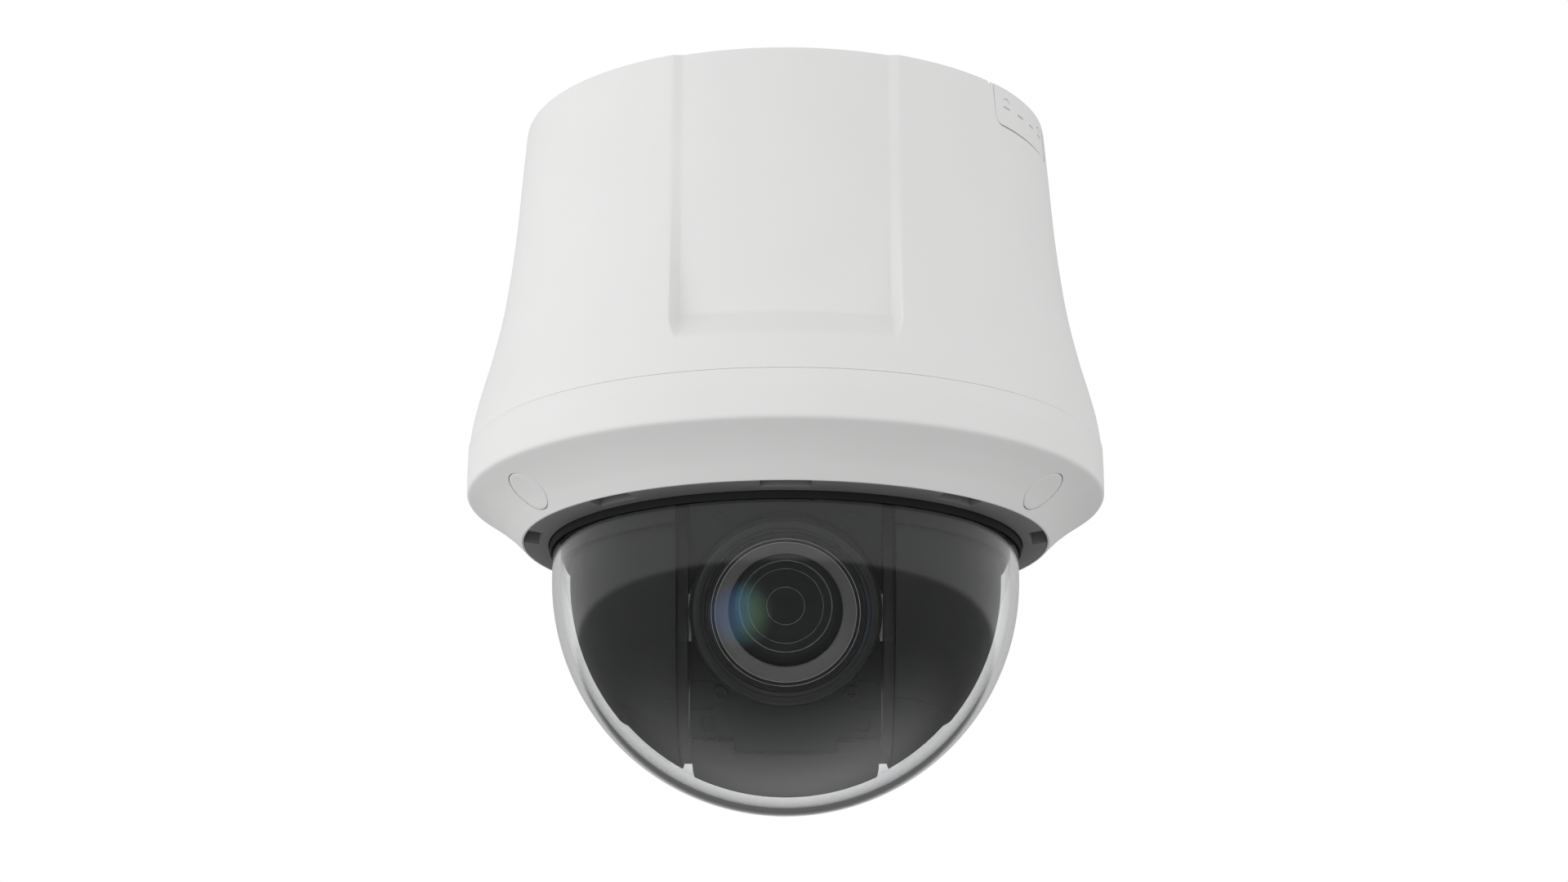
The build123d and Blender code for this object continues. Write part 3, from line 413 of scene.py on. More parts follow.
# Outlines are (radius, height) points in millimetres; the ceiling face is at height 0.
BOX_TOP_R, BOX_WALL, BOX_FOOT_Z = 68.6, 2.4, -86.72
BOX_SIDE = [
    (BOX_TOP_R, 0.0), (69.8, -15.0), (71.0, -30.0), (72.8, -45.0), (74.5, -55.0), (76.8, -65.0),
    (79.0, -73.0), (80.7, -80.0), (81.7, -86.7),
]
LEDGE_IN, LEDGE_OUT, LEDGE_TOP, LEDGE_LOW = 60.2, 66.2, -3.02, -6.2  # carries the ceiling plate
ENTRY_ANGLE = 64.0  # of the side cable way, from the front
CAP_ANGLES, CAP_OUT, CAP_Z, CAP_LEAN, CAP_R = (60, 180, 300), 73.1, -104.9, 39.0, 5.88
POCKET_COUNT, POCKET_IN, POCKET_OUT = 9, 63.3, 69.0
POCKET_HALF = 5.4  # half of a pocket's width, in degrees
UNDERSIDE = [(81.2, -99.3), (76.6, -102.4), (72.2, -105.9), (69.4, -108.6), (67.6, -110.4)]


def reading(curve, x, key=1, value=0):
    """The curve's value coordinate where its key coordinate is x, with key falling or rising."""
    for a, b in zip(curve, curve[1:]):
        low, high = sorted((a[key], b[key]))
        if low <= x <= high and high > low:
            t = (x - a[key]) / (b[key] - a[key])
            return a[value] + (b[value] - a[value]) * t
    return curve[0][value] if abs(x - curve[0][key]) < abs(x - curve[-1][key]) else curve[-1][value]


BOX_CURVE = curve_through(BOX_SIDE)
UNDER_CURVE = curve_through(UNDERSIDE)


def soft_max(a, b, k):
    """The larger of two values, with the step between them rounded over a width k."""
    h = max(k - abs(a - b), 0.0) / k
    return max(a, b) + h * h * k / 4


def soft_min(a, b, k):
    """The smaller of two values, rounded in the same way."""
    return -soft_max(-a, -b, k)


PANEL_IN, PANEL_OUT = 25.4, 27.9  # half widths of the front panel at its floor and at the skin
PANEL_TOP_R, PANEL_FOOT_R, PANEL_FOOT_Z = 67.4, 73.6, -70.2  # its floor at the top and at the foot
FOOT_SLOPE = 0.892  # how far the foot comes out for each millimetre down
FOOT_SOFTNESS = 2.0  # how much rounder the edges are at the foot than up the sides


def front_panel_radius(z, x, skin):
    """Radius of the recessed front panel at a height and distance from the middle, with soft edges."""
    x = abs(x)
    if x > PANEL_OUT + 3:
        return skin
    edge = shell_settings().groove
    floor = PANEL_TOP_R + (PANEL_FOOT_R - PANEL_TOP_R) * min(1.0, z / PANEL_FOOT_Z)
    foot = (PANEL_FOOT_R + (PANEL_FOOT_Z - z) * FOOT_SLOPE - floor) / (skin - floor)
    side = (x - PANEL_IN) / (PANEL_OUT - PANEL_IN)
    rise = math.hypot(max(side, 0.0), max(foot, 0.0)) if max(side, foot) > 0 else max(side, foot)
    edge *= 1.0 + FOOT_SOFTNESS * min(1.0, max(0.0, 1.0 + foot))
    return soft_min(skin, soft_max(floor, floor + (skin - floor) * rise, edge), edge)


def panel_columns():
    """Distances from the middle where the back box's front has an edge loop."""
    half = [0.0, 4.0, 8.0, 12.0, 16.0, 19.0, 21.5, 23.2, 24.2, 24.7, 25.0, 25.2, 25.4, 25.6, 25.8, 26.1]
    half += [26.5, 26.9, 27.2, 27.5, 27.7, 27.9, 28.1, 28.4, 28.8, 29.5, 30.6, 32.0, 34.0]
    return [-x for x in reversed(half[1:])] + half


class DOMECAM_OT_back_box(bpy.types.Operator):
    """Back box with its recessed front panel, side cable way, ledge and screw posts"""

    bl_idname = "domecam.back_box"
    bl_label = "Back Box"

    def execute(self, context):
        columns, rest = panel_columns(), 190
        heights = [-1.4 - 2.4 * n for n in range(27)]
        heights += [-66.0 - 0.4 * n for n in range(36)]
        heights += [-81.5, -83.5, -85.2, -86.45]
        outer = [(81.67, -86.76)] + [(reading(BOX_CURVE, z), z) for z in reversed(heights)]
        top = [(68.58, -0.5), (68.42, -0.15), (68.1, 0.0), (66.35, 0.0), (LEDGE_OUT, -0.15)]
        ledge = [(LEDGE_OUT, LEDGE_TOP), (LEDGE_IN, LEDGE_TOP), (LEDGE_IN, LEDGE_LOW), (66.5, LEDGE_LOW)]
        inner_heights = (-9, -15, -22, -30, -38, -46, -54, -62, -69, -72, -76, -80, -84, BOX_FOOT_Z)
        inner = [(reading(BOX_CURVE, z) - BOX_WALL, z) for z in inner_heights]
        last_skin = len(outer)
        last_top = last_skin + 3
        first_inner = last_skin + len(top) + len(ledge)

        def point_at(row, r, z, n):
            if n >= len(columns):
                start = math.asin(columns[-1] / r)
                a = start + (2 * math.pi - 2 * start) * (n - len(columns) + 1) / (rest + 1)
                return r * math.sin(a), -r * math.cos(a)
            x = columns[n]
            if row < last_skin:
                r = front_panel_radius(z, x, r)
            elif row < last_top:
                r = min(r, front_panel_radius(z, x, BOX_TOP_R) + r - BOX_TOP_R)
            elif row >= first_inner:
                r = min(r, front_panel_radius(z, x, reading(BOX_CURVE, z)) - 2.0)
            return x, -math.sqrt(r * r - x * x)

        outline = outer + top + ledge + inner
        box = turned_mesh("back_box_shell", outline, len(columns) + rest, point_at=point_at)
        entry = rounded([(-16.8, -11.25, 2.6), (16.4, -11.25, 2.6), (16.4, 6, 0), (-16.8, 6, 0)], 6)
        lip_room = [(-18.5, -7), (18.5, -7), (18.5, 1), (-18.5, 1)]
        place = around(ENTRY_ANGLE)
        carve(box, [slab("entry", entry, -78, -66.1, place), slab("lip_room", lip_room, -66.15, -56, place)])
        finish_piece(box, white_shell(), "housing", "white_shell", "back_box")
        self.posts()
        return {"FINISHED"}

    def posts(self):
        """Hollow posts for the screws of the chassis, with ribs to the wall, and of the trim ring."""
        for n, angle in enumerate((30, 150, 270)):
            self.post(f"chassis_post_{n + 1}", around(angle, 57.0), 4.2, -48.0, -9.0)
            web = [(-1.4, -45.0), (1.4, -45.0), (1.2, -10), (-1.2, -10)]
            rib = slab(f"chassis_post_rib_{n + 1}", web, -67.5, -60.6, around(angle))
            finish_piece(rib, white_shell(), "housing", "white_shell")
        for n, angle in enumerate(CAP_ANGLES):
            self.post(f"trim_post_{n + 1}", around(angle, CAP_OUT), 4.0, -86.3, -77.5)

    def post(self, name, place, r, low, high):
        """One post, bored from below."""
        bore, roof = 1.3, 3
        outline = rounded(
            [(bore, low, 0.1), (r, low, 0.3), (r - 0.2, high, 0.3), (0, high, 0), (0, high - roof, 0),
             (bore, high - roof, 0)], 3)
        finish_piece(turned_mesh(name, outline, 48, place), white_shell(), "housing", "white_shell")


def white_shell():
    """Fine satin texture of the housing's white plastic."""
    return once(moulded, "moulded white shell", shell_settings().white, (0.4, 0.5), 0.45, 0.003, 0.01, 0.4)


def grey_plastic():
    """Matt grey plastic of the ring round the bubble."""
    return once(moulded, "grey ring plastic", shell_settings().grey, (0.42, 0.55), 0.4, 0.01, 0.05)


def black_plastic():
    """Dull black plastic of the liner and the covers."""
    return once(moulded, "black liner plastic", camera_settings().black, (0.5, 0.6), 2.2, 0.0006, 0.05, 0.2)


def gloss_black():
    """Polished black plastic of the lens bezel."""
    return once(moulded, "gloss black bezel", camera_settings().black, (0.16, 0.26), 0.3, 0.004, 0.1, 0.5)


def trim_height(r):
    """Height of the trim ring's hollow underside at a radius."""
    return reading(UNDER_CURVE, r, key=0, value=1)


class DOMECAM_OT_trim_ring(bpy.types.Operator):
    """Lower ring of the housing with its upright band, hollow underside and cap pockets"""

    bl_idname = "domecam.trim_ring"
    bl_label = "Trim Ring"

    def execute(self, context):
        segments = shell_settings().segments
        band = [
            (81.66, -86.85), (81.82, -86.88), (81.9, -87.0), (82.0, -92.0), (82.0, -97.9), (81.95, -98.5),
            (81.7, -98.95),
        ]
        lip = [(67.5, -110.28), (67.4, -110.36), (67.25, -110.35), (67.2, -110.1), (67.2, -107.0)]
        inside = [
            (70.6, -103.8), (79.6, -96.9), (79.6, -89.5), (79.2, -88.2), (79.2, -86.88), (78.6, -86.8),
            (78.6, -84.2), (77.4, -84.2), (77.4, -88.0),
        ]
        outline = band + UNDER_CURVE[:-1] + [(67.6, -110.2)] + lip + inside
        trim = turned_mesh("trim_ring_shell", outline, segments, crease=40)
        cutters = []
        for angle in CAP_ANGLES:
            place = around(angle, CAP_OUT, CAP_Z) @ Matrix.Rotation(math.radians(-CAP_LEAN), 4, "X")
            cutters.append(rod_cutter("pocket", CAP_R + 0.24, -5, 2.3, place, 96))
        carve(trim, cutters, 40)
        finish_piece(trim, white_shell(), "housing", "white_shell", "trim_ring")
        return {"FINISHED"}


class DOMECAM_OT_screw_caps(bpy.types.Operator):
    """Round caps that follow the hollow underside over the trim's screws"""

    bl_idname = "domecam.screw_caps"
    bl_label = "Screw Caps"

    def execute(self, context):
        lean = math.radians(CAP_LEAN)
        normal = Vector((0, -math.sin(lean), -math.cos(lean)))
        along = Vector((0, -math.cos(lean), math.sin(lean)))
        centre = Vector((0, -CAP_OUT, CAP_Z))

        def on_surface(u, v):
            """Where the line through (u, v) along the cap's axis meets the hollow underside."""
            low, high = -4.0, 4.0
            for _ in range(24):
                mid = (low + high) / 2
                p = centre + Vector((u, 0, 0)) + along * v + normal * mid
                low, high = (mid, high) if p.z > trim_height(math.hypot(p.x, p.y)) else (low, mid)
            return centre + Vector((u, 0, 0)) + along * v + normal * low

        face = [(1.5, 0.0), (3.0, 0.0), (4.5, 0.0), (5.5, 0.0)]
        edge = [(5.72, 0.03), (5.84, 0.1), (CAP_R, 0.25), (CAP_R, 1.9)]
        sides = 64
        verts, faces = [on_surface(0, 0)], []
        rings = [[0] * sides]
        for r, depth in face + edge:
            rings.append([len(verts) + n for n in range(sides)])
            for n in range(sides):
                a = 2 * math.pi * n / sides
                verts.append(on_surface(r * math.cos(a), r * math.sin(a)) - normal * depth)
        rings.append([len(verts)] * sides)
        verts.append(on_surface(0, 0) - normal * edge[-1][1])
        for one, other in zip(rings, rings[1:]):
            faces += bridge(one, other)
        for n, angle in enumerate(CAP_ANGLES):
            turn = Matrix.Rotation(math.radians(angle), 4, "Z")
            cap = mesh_object(f"screw_cap_{n + 1}", verts, faces, turn, 50)
            finish_piece(cap, white_shell(), "housing", "white_shell", "screw_caps")
        return {"FINISHED"}


class DOMECAM_OT_bubble_ring(bpy.types.Operator):
    """Grey ring round the bubble with nine pockets, and the gasket inside it"""

    bl_idname = "domecam.bubble_ring"
    bl_label = "Bubble Ring"

    def execute(self, context):
        corners = [(60.7, -111.2, 0.35), (67.05, -110.45, 0.25), (67.05, -106.2, 0), (60.7, -106.2, 0)]
        outline = rounded(corners, 4)
        ring = turned_mesh("bubble_ring_face", outline, shell_settings().segments, crease=40)
        cutters = []
        steps, half = 10, math.radians(POCKET_HALF)
        for n in range(POCKET_COUNT):
            start = 2 * math.pi * n / POCKET_COUNT - half
            angles = [start + 2 * half * k / steps for k in range(steps + 1)]
            outer = [(POCKET_OUT, a) for a in angles]
            inner = [(POCKET_IN, a) for a in reversed(angles)]
            pocket = [(r * math.sin(a), -r * math.cos(a)) for r, a in outer + inner]
            verts = [(x, y, -115) for x, y in pocket] + [(x, y, -107.6) for x, y in pocket]
            cutters.append(mesh_object("pocket", verts, prism_faces(len(pocket))))
        carve(ring, cutters, 40)
        finish_piece(ring, grey_plastic(), "housing", "grey_ring", "bubble_ring")
        corners = [(59.86, -113.0, 0.2), (60.55, -113.0, 0.3), (60.55, -105.4, 0), (59.86, -105.4, 0)]
        seal = rounded(corners, 4)
        gasket = turned_mesh("bubble_gasket_lip", seal, shell_settings().segments)
        finish_piece(gasket, gasket_rubber(), "housing", "gasket_rubber", "bubble_gasket")
        return {"FINISHED"}


def gasket_rubber():
    """Dead black rubber of the bubble's gasket."""
    return once(moulded, "gasket rubber", (0.012, 0.012, 0.012), (0.6, 0.75), 0.3, 0.02, 0.15, 0.35)


class DOMECAM_OT_bubble(bpy.types.Operator):
    """Clear half-sphere bubble with its flange"""

    bl_idname = "domecam.bubble"
    bl_label = "Bubble"

    def execute(self, context):
        settings = context.scene.dome_bubble
        r_out, r_in = settings.radius, settings.radius - settings.wall
        steps = 72
        arc = [math.pi / 2 * n / steps for n in range(steps + 1)]
        outer = [(r_out * math.sin(a), TILT_Z - r_out * math.cos(a)) for a in arc]
        inner = [(r_in * math.sin(a), TILT_Z - r_in * math.cos(a)) for a in reversed(arc)]
        rim = [(r_out, -112.5), (r_out, -105.4), (65.0, -105.4)]
        rim += [(65.0, -103.4), (r_in, -103.4), (r_in, -112.5)]
        bubble = turned_mesh("bubble_shell", outer + rim + inner, shell_settings().segments, crease=60)
        material = clear_shell("clear bubble plastic", settings.colour, (0.0, 0.002), settings.ior)
        finish_piece(bubble, material, "housing", "clear_bubble", "dome_bubble")
        return {"FINISHED"}


# ------------------------------------------------------------------ liner, camera block and lens


class DOMECAM_OT_front_cover(bpy.types.Operator):
    """Plate round the lens with its lower tab, two pockets and four score lines"""

    bl_idname = "domecam.front_cover"
    bl_label = "Front Cover"

    def execute(self, context):
        outline = rounded(
            [(-23.2, 31.0, 2.0), (23.2, 31.0, 2.0), (23.2, 4.5, 0.2), (22.6, 4.5, 0.2), (22.6, -8.2, 0.2),
             (23.2, -8.2, 0.2), (23.2, -32.25, 0.6), (12.55, -32.25, 0.3), (12.55, -35.5, 1.2),
             (-12.55, -35.5, 1.2), (-12.55, -32.25, 0.3), (-23.2, -32.25, 0.6), (-23.2, -8.2, 0.2),
             (-22.6, -8.2, 0.2), (-22.6, 4.5, 0.2), (-23.2, 4.5, 0.2)], 6)
        plate = slab("front_cover_plate", outline, -38.0, -36.05, LENS_SPACE)
        cutters = [rod_cutter("bore", 19.3, 30, 45, LENS_AXIS, 96)]
        for side in (-1, 1):
            corners = ((-1.7, -1.8), (1.7, -1.8), (1.7, 1.8), (-1.7, 1.8))
            pocket = rounded([(side * 18.7 + dx, -29.0 + dz, 0.6) for dx, dz in corners], 4)
            cutters.append(slab("pocket", pocket, -40, -37.0, LENS_SPACE))
            for h in (-18.3, -25.1):
                low, high = h - 0.09, h + 0.09
                line = [(side * 24.5, low), (side * 17.6, low), (side * 17.6, high), (side * 24.5, high)]
                cutters.append(slab("line", line, -40, -37.7, LENS_SPACE))
        carve(plate, cutters)
        bevel_edges(plate, 0.15, 2)
        finish_piece(plate, black_plastic(), "camera", "black_cover", "front_cover")
        return {"FINISHED"}


def bevel_edges(obj, width_mm, segments=3, angle=40):
    """Small rounding along the sharp edges."""
    modifier = obj.modifiers.new("edge", "BEVEL")
    modifier.width = width_mm * MM
    modifier.segments = segments
    modifier.limit_method = "ANGLE"
    modifier.angle_limit = math.radians(angle)
    modifier.harden_normals = True


def lens_piece(name, outline, segments=160, crease=35):
    """A piece turned about the lens axis from (radius, distance in front of the tilt axis) points."""
    return turned_mesh(name, outline, segments, LENS_AXIS, crease)


class DOMECAM_OT_lens_front(bpy.types.Operator):
    """Bezel, stepped retainer, grey shade and the rims round the front lens"""

    bl_idname = "domecam.lens_front"
    bl_label = "Lens Front"

    def execute(self, context):
        bezel = rounded(
            [(23.2, 38.05, 0.2), (23.2, 45.4, 0.5), (22.7, 46.4, 0.3), (22.2, 47.55, 0.5), (20.6, 47.55, 0.3),
             (20.3, 46.8, 0.2), (19.45, 46.6, 0.2), (19.45, 38.05, 0)], 4)
        obj = lens_piece("lens_bezel_ring", bezel, 192)
        finish_piece(obj, gloss_black(), "camera", "black_cover", "lens_bezel")
        retainer = rounded(
            [(19.35, 47.0, 0.2), (18.75, 47.0, 0.1), (18.65, 46.7, 0.08), (17.9, 46.7, 0.08),
             (17.8, 46.45, 0.05), (17.0, 46.45, 0.1), (17.0, 46.1, 0), (19.35, 46.1, 0)], 3)
        obj = lens_piece("retainer_ring", retainer, 192)
        finish_piece(obj, matt_black(), "camera", "black_cover", "front_retainer")
        cone = rounded(
            [(17.25, 46.05, 0), (16.5, 45.6, 0.2), (14.0, 43.6, 0.15), (13.8, 43.3, 0.1), (13.75, 42.8, 0.1),
             (17.25, 44.9, 0)], 3)
        obj = lens_piece("retainer_cone", cone, 192)
        finish_piece(obj, shade_grey(), "camera", "black_cover")
        self.rims()
        return {"FINISHED"}

    def rims(self):
        """Black baffles behind the front element, with the thin rims of the cells they sit in; the rims are
        real, and their pale colour is a painted highlight for the glint along them.
        """
        baffles = {
            "outer_baffle": [(15.4, 37.3), (12.0, 37.3), (11.2, 36.7), (10.9, 36.3), (15.4, 36.3)],
            "middle_baffle": [(15.0, 36.2), (9.2, 36.2), (8.8, 36.05), (8.8, 35.95), (15.0, 35.95)],
            "iris_plate": [(8.7, 35.95), (4.6, 35.85), (4.2, 35.75), (4.2, 35.68), (8.7, 35.75)],
        }
        for name, outline in baffles.items():
            obj = lens_piece(name, outline, 160)
            finish_piece(obj, matt_black(), "camera", "black_cover")
        # Pale, mostly matt rim colour: a painted highlight that stands in for the glint the rims catch.
        bright = turned_metal("pale rim with painted glint", (0.75, 0.75, 0.74), (0.25, 0.35), (1, 1, 6), 0.2)
        rims = {
            "outer_rim": (10.9, 36.75, 0.12), "middle_rim": (8.8, 36.22, 0.06),
            "iris_rim": (4.4, 35.93, 0.05), "cone_rim": (16.95, 46.5, 0.05),
            "retainer_rim": (17.85, 46.72, 0.05),
        }
        for name, (r, depth, width) in rims.items():
            crown, half = depth + width * 0.8, width * 0.6
            outline = [(r + width, depth), (r + half, crown), (r - half, crown)]
            outline += [(r - width, depth), (r, depth - width)]
            finish_piece(lens_piece(name, outline, 192), bright, "camera", "black_cover")


def matt_black():
    """Black paint inside the lens."""
    return once(moulded, "matt black baffle", (0.02, 0.02, 0.02), (0.6, 0.75), 0.8, 0.004, 0.1, 0.2)


def shade_grey():
    """Warm grey satin of the cone round the front element."""
    return once(moulded, "lens shade grey", (0.15, 0.143, 0.138), (0.28, 0.36), 0.6, 0.003, 0.06, 0.6)


def glass_outline(r, back, front, back_bulge, front_bulge, steps=20):
    """Outline of a round element whose faces bulge by the given depths."""
    face = [(r * n / steps, front + front_bulge * (1 - (n / steps) ** 2)) for n in range(steps + 1)]
    rear = [(r * n / steps, back - back_bulge * (1 - (n / steps) ** 2)) for n in range(steps, -1, -1)]
    return face + rear


class DOMECAM_OT_lens_glass(bpy.types.Operator):
    """The front glass element and the one behind it"""

    bl_idname = "domecam.lens_glass"
    bl_label = "Lens Glass"

    def execute(self, context):
        front = lens_piece("front_element", glass_outline(15.6, 37.8, 39.8, -0.5, 2.4), 160, 50)
        finish_piece(front, lens_glass(), "camera", "lens_glass", "front_lens")
        second = lens_piece("second_element", glass_outline(13.6, 33.7, 35.1, -0.6, 0.5), 128, 50)
        finish_piece(second, lens_glass(), "camera", "lens_glass", "second_lens")
        return {"FINISHED"}


def lens_glass():
    """The glass of every lens element and filter."""
    return once(coated_glass, "coated lens glass")


def coated_glass(name):
    """Coated glass that reflects a pale green seen straight on and more blue where it turns away."""
    material, tree, principled, coords = shader(name)
    principled.inputs["Transmission Weight"].default_value = 1.0
    principled.inputs["IOR"].default_value = 1.55
    smear = grain(tree, coords, 9.0, 3.0)
    tree.links.new(tint(tree, smear, (0.86, 0.87, 0.88), (0.92, 0.93, 0.94)), principled.inputs["Base Color"])
    facing = tree.nodes.new("ShaderNodeLayerWeight")
    facing.inputs["Blend"].default_value = 0.25
    coating = tree.nodes.new("ShaderNodeValToRGB")
    coating.color_ramp.elements[0].color = (0.62, 0.72, 0.70, 1)
    coating.color_ramp.elements[1].position = 0.25
    coating.color_ramp.elements[1].color = (*camera_settings().coating, 1)
    tree.links.new(facing.outputs["Facing"], coating.inputs["Fac"])
    tree.links.new(coating.outputs["Color"], principled.inputs["Specular Tint"])
    tree.links.new(spread(tree, smear, 0.0, 0.01), principled.inputs["Roughness"])
    return material


# ------------------------------------------------------------------ finishes of the frame's own pieces


class DOMECAM_OT_finishes(bpy.types.Operator):
    """Finishes for the pieces whose shape comes straight from the frame"""

    bl_idname = "domecam.finishes"
    bl_label = "Finishes"

    def execute(self, context):
        steel = turned_metal("bright steel", camera_settings().steel)
        gear = moulded("natural acetal", (0.72, 0.71, 0.64), (0.35, 0.45), 0.3, 0.006, 0.03)
        green = circuit("green circuit board", (0.012, 0.10, 0.05))
        arm = turned_metal("dark arm metal", (0.035, 0.035, 0.036), (0.42, 0.55), (1, 9, 1), 0.3)
        barrel = turned_metal("black anodised barrel", (0.02, 0.02, 0.021), (0.25, 0.4), (1, 12, 1), 0.4)
        finishes = {
            "side_entry_cover": white_shell(),
            "liner_left": black_plastic(), "liner_right": black_plastic(), "tilt_cover": black_plastic(),
            "yoke_arm_left": arm,
            "zoom_cell": black_plastic(), "focus_cell": black_plastic(), "ir_filter_frame": black_plastic(),
            "tilt_motor_bracket": steel,
            "tilt_motor": turned_metal("motor can", (0.4, 0.4, 0.42), (0.3, 0.45)),
            "chassis_plate": turned_metal("rolled chassis sheet", (0.5, 0.51, 0.52), (0.3, 0.5), (12, 1, 1)),
            "pan_platform": turned_metal("cast platform", (0.32, 0.32, 0.33), (0.42, 0.6), (2, 2, 2)),
            "camera_body": turned_metal("cast camera body", (0.02, 0.02, 0.021), (0.55, 0.7), (2, 2, 2), 0.1),
            "lens_barrel": barrel,
            "board_standoffs": turned_metal("turned brass", (0.6, 0.43, 0.17), (0.22, 0.35)),
            "main_board": green, "power_board": green, "driver_board": green, "sensor_board": green,
            "processor_board": green,
            "cover_screws": moulded("black screw", (0.02, 0.02, 0.02), (0.35, 0.45), 0.5, 0.004, 0.1, 0.4),
            "ceiling_plate": turned_metal("zinc ceiling plate", (0.58, 0.59, 0.6), (0.32, 0.5), (1, 9, 1)),
            "side_clips": turned_metal("dull clip steel", (0.6, 0.6, 0.6), (0.3, 0.45), (1, 1, 9), 0.35),
            "board_parts": moulded("chip body", (0.03, 0.03, 0.032), (0.4, 0.55), 0.25, 0.01, 0.1),
            "screw_terminals": moulded("green nylon", (0.02, 0.22, 0.08), (0.35, 0.5), 0.3, 0.01, 0.05),
            "network_jack": turned_metal("tinned shield", (0.66, 0.66, 0.66), (0.2, 0.35), (10, 1, 1)),
            "slip_ring": moulded("grey slip ring", (0.12, 0.12, 0.13), (0.4, 0.5), 0.3, 0.01, 0.05),
            "memory_card": moulded("memory card", (0.02, 0.02, 0.022), (0.35, 0.5), 0.3, 0.006, 0.08),
            "pan_gear": gear, "tilt_gear": gear, "pan_pinion": gear, "tilt_pinion": gear,
            "zoom_lens": lens_glass(), "focus_lens": lens_glass(), "ir_filter_glass": lens_glass(),
        }
        alike = {
            "yoke_arm_right": "yoke_arm_left", "pan_motor": "tilt_motor", "pan_hub": "pan_platform",
            "tilt_bushes": "board_standoffs", "memory_card_slot": "network_jack", "reset_switch": "slip_ring",
            "reset_button": "board_parts",
        }
        for node, other in alike.items():
            finishes[node] = finishes[other]
        for name, obj in frame["nodes"].items():
            dress(obj, finishes.get(name, steel))
            smooth(obj.data, 28)
        return {"FINISHED"}


# ------------------------------------------------------------------ stage


CAMERA_PLACE = (-0.00041, -0.7807, -0.2992)  # metres, below and in front of the housing


class DOMECAM_OT_stage(bpy.types.Operator):
    """Pale floor, soft light all round and the viewing camera"""

    bl_idname = "domecam.stage"
    bl_label = "Stage"

    def execute(self, context):
        scene, settings = context.scene, context.scene.dome_stage
        scene.view_settings.view_transform = "Standard"
        bpy.ops.mesh.primitive_plane_add(size=12, location=(0, 0, -settings.floor_drop))
        floor = context.object
        floor.name = "floor"
        dress(floor, moulded("pale floor", (0.8, 0.8, 0.8), (0.6, 0.8), 3.0, 0.05, 0.01, 0.3))
        floor.visible_diffuse = False
        floor.visible_glossy = False
        floor.visible_transmission = False
        self.light_sky(scene)
        camera = bpy.data.objects.new("viewing_camera", bpy.data.cameras.new("viewing_camera"))
        scene.collection.objects.link(camera)
        camera.data.lens = settings.lens
        camera.data.sensor_width = 36.0
        camera.data.clip_start, camera.data.clip_end = 0.01, 50
        camera.location = CAMERA_PLACE
        camera.rotation_euler = (math.radians(90) + settings.pitch, 0, 0)
        scene.camera = camera
        return {"FINISHED"}

    def light_sky(self, scene):
        """White surround: soft light on matt surfaces, bands in gloss, and plain white straight behind."""
        world = bpy.data.worlds.new("soft studio")
        scene.world = world
        world.use_nodes = True
        tree = world.node_tree
        back = tree.nodes["Background"]
        coords = tree.nodes.new("ShaderNodeTexCoord").outputs["Generated"]
        split = tree.nodes.new("ShaderNodeSeparateXYZ")
        tree.links.new(coords, split.inputs["Vector"])
        side, depth, height = (split.outputs[axis] for axis in "XYZ")
        rays = tree.nodes.new("ShaderNodeLightPath").outputs
        soft = soft_light(tree, side, height)
        lamp = small_lamp(tree, coords)
        gloss = maths(tree, "ADD", reflected_bands(tree, side, depth, height), lamp)
        after_gloss = maths(tree, "MINIMUM", rays["Glossy Depth"], 1.0)
        bounces = maths(tree, "ADD", rays["Glossy Depth"], rays["Diffuse Depth"])
        after_any = maths(tree, "MINIMUM", bounces, 1.0)
        through = rays["Is Transmission Ray"]
        inside = choose(tree, after_gloss, soft, gloss)
        outside = choose(tree, rays["Is Glossy Ray"], soft, gloss)
        level = choose(tree, through, outside, inside)
        straight = maths(tree, "MULTIPLY", through, maths(tree, "SUBTRACT", 1.0, after_any))
        plain = maths(tree, "MAXIMUM", rays["Is Camera Ray"], straight)
        tree.links.new(choose(tree, plain, level, 1.0), back.inputs["Strength"])
        shown = maths(tree, "MULTIPLY", maths(tree, "SUBTRACT", 1.0, plain), rays["Is Glossy Ray"])
        full = maths(tree, "MINIMUM", maths(tree, "MULTIPLY", lamp, 2.0), 1.0)
        colour = tree.nodes.new("ShaderNodeMix")
        colour.data_type = "RGBA"
        colour.inputs["A"].default_value = (1, 1, 1, 1)
        tree.links.new(lamp_hue(tree, side), colour.inputs["B"])
        tree.links.new(maths(tree, "MULTIPLY", full, shown), colour.inputs["Factor"])
        tree.links.new(colour.outputs["Result"], back.inputs["Color"])


def ease(tree, value, from_low, from_high, to_low, to_high):
    """A value eased from one range to another."""
    node = tree.nodes.new("ShaderNodeMapRange")
    node.interpolation_type = "SMOOTHSTEP"
    ends = {"From Min": from_low, "From Max": from_high, "To Min": to_low, "To Max": to_high}
    for key, number in ends.items():
        node.inputs[key].default_value = number
    tree.links.new(value, node.inputs["Value"])
    return node.outputs["Result"]


def feed(tree, value, socket):
    """Sets a socket to a number or links it to an output."""
    if isinstance(value, (int, float)):
        socket.default_value = value
    else:
        tree.links.new(value, socket)


def maths(tree, kind, one, other):
    """One arithmetic step on two values."""
    node = tree.nodes.new("ShaderNodeMath")
    node.operation = kind
    feed(tree, one, node.inputs[0])
    feed(tree, other, node.inputs[1])
    return node.outputs["Value"]


def choose(tree, factor, one, other):
    """One value where factor is 0 and the other where it is 1."""
    node = tree.nodes.new("ShaderNodeMix")
    tree.links.new(factor, node.inputs["Factor"])
    feed(tree, one, node.inputs[2])
    feed(tree, other, node.inputs[3])
    return node.outputs["Result"]


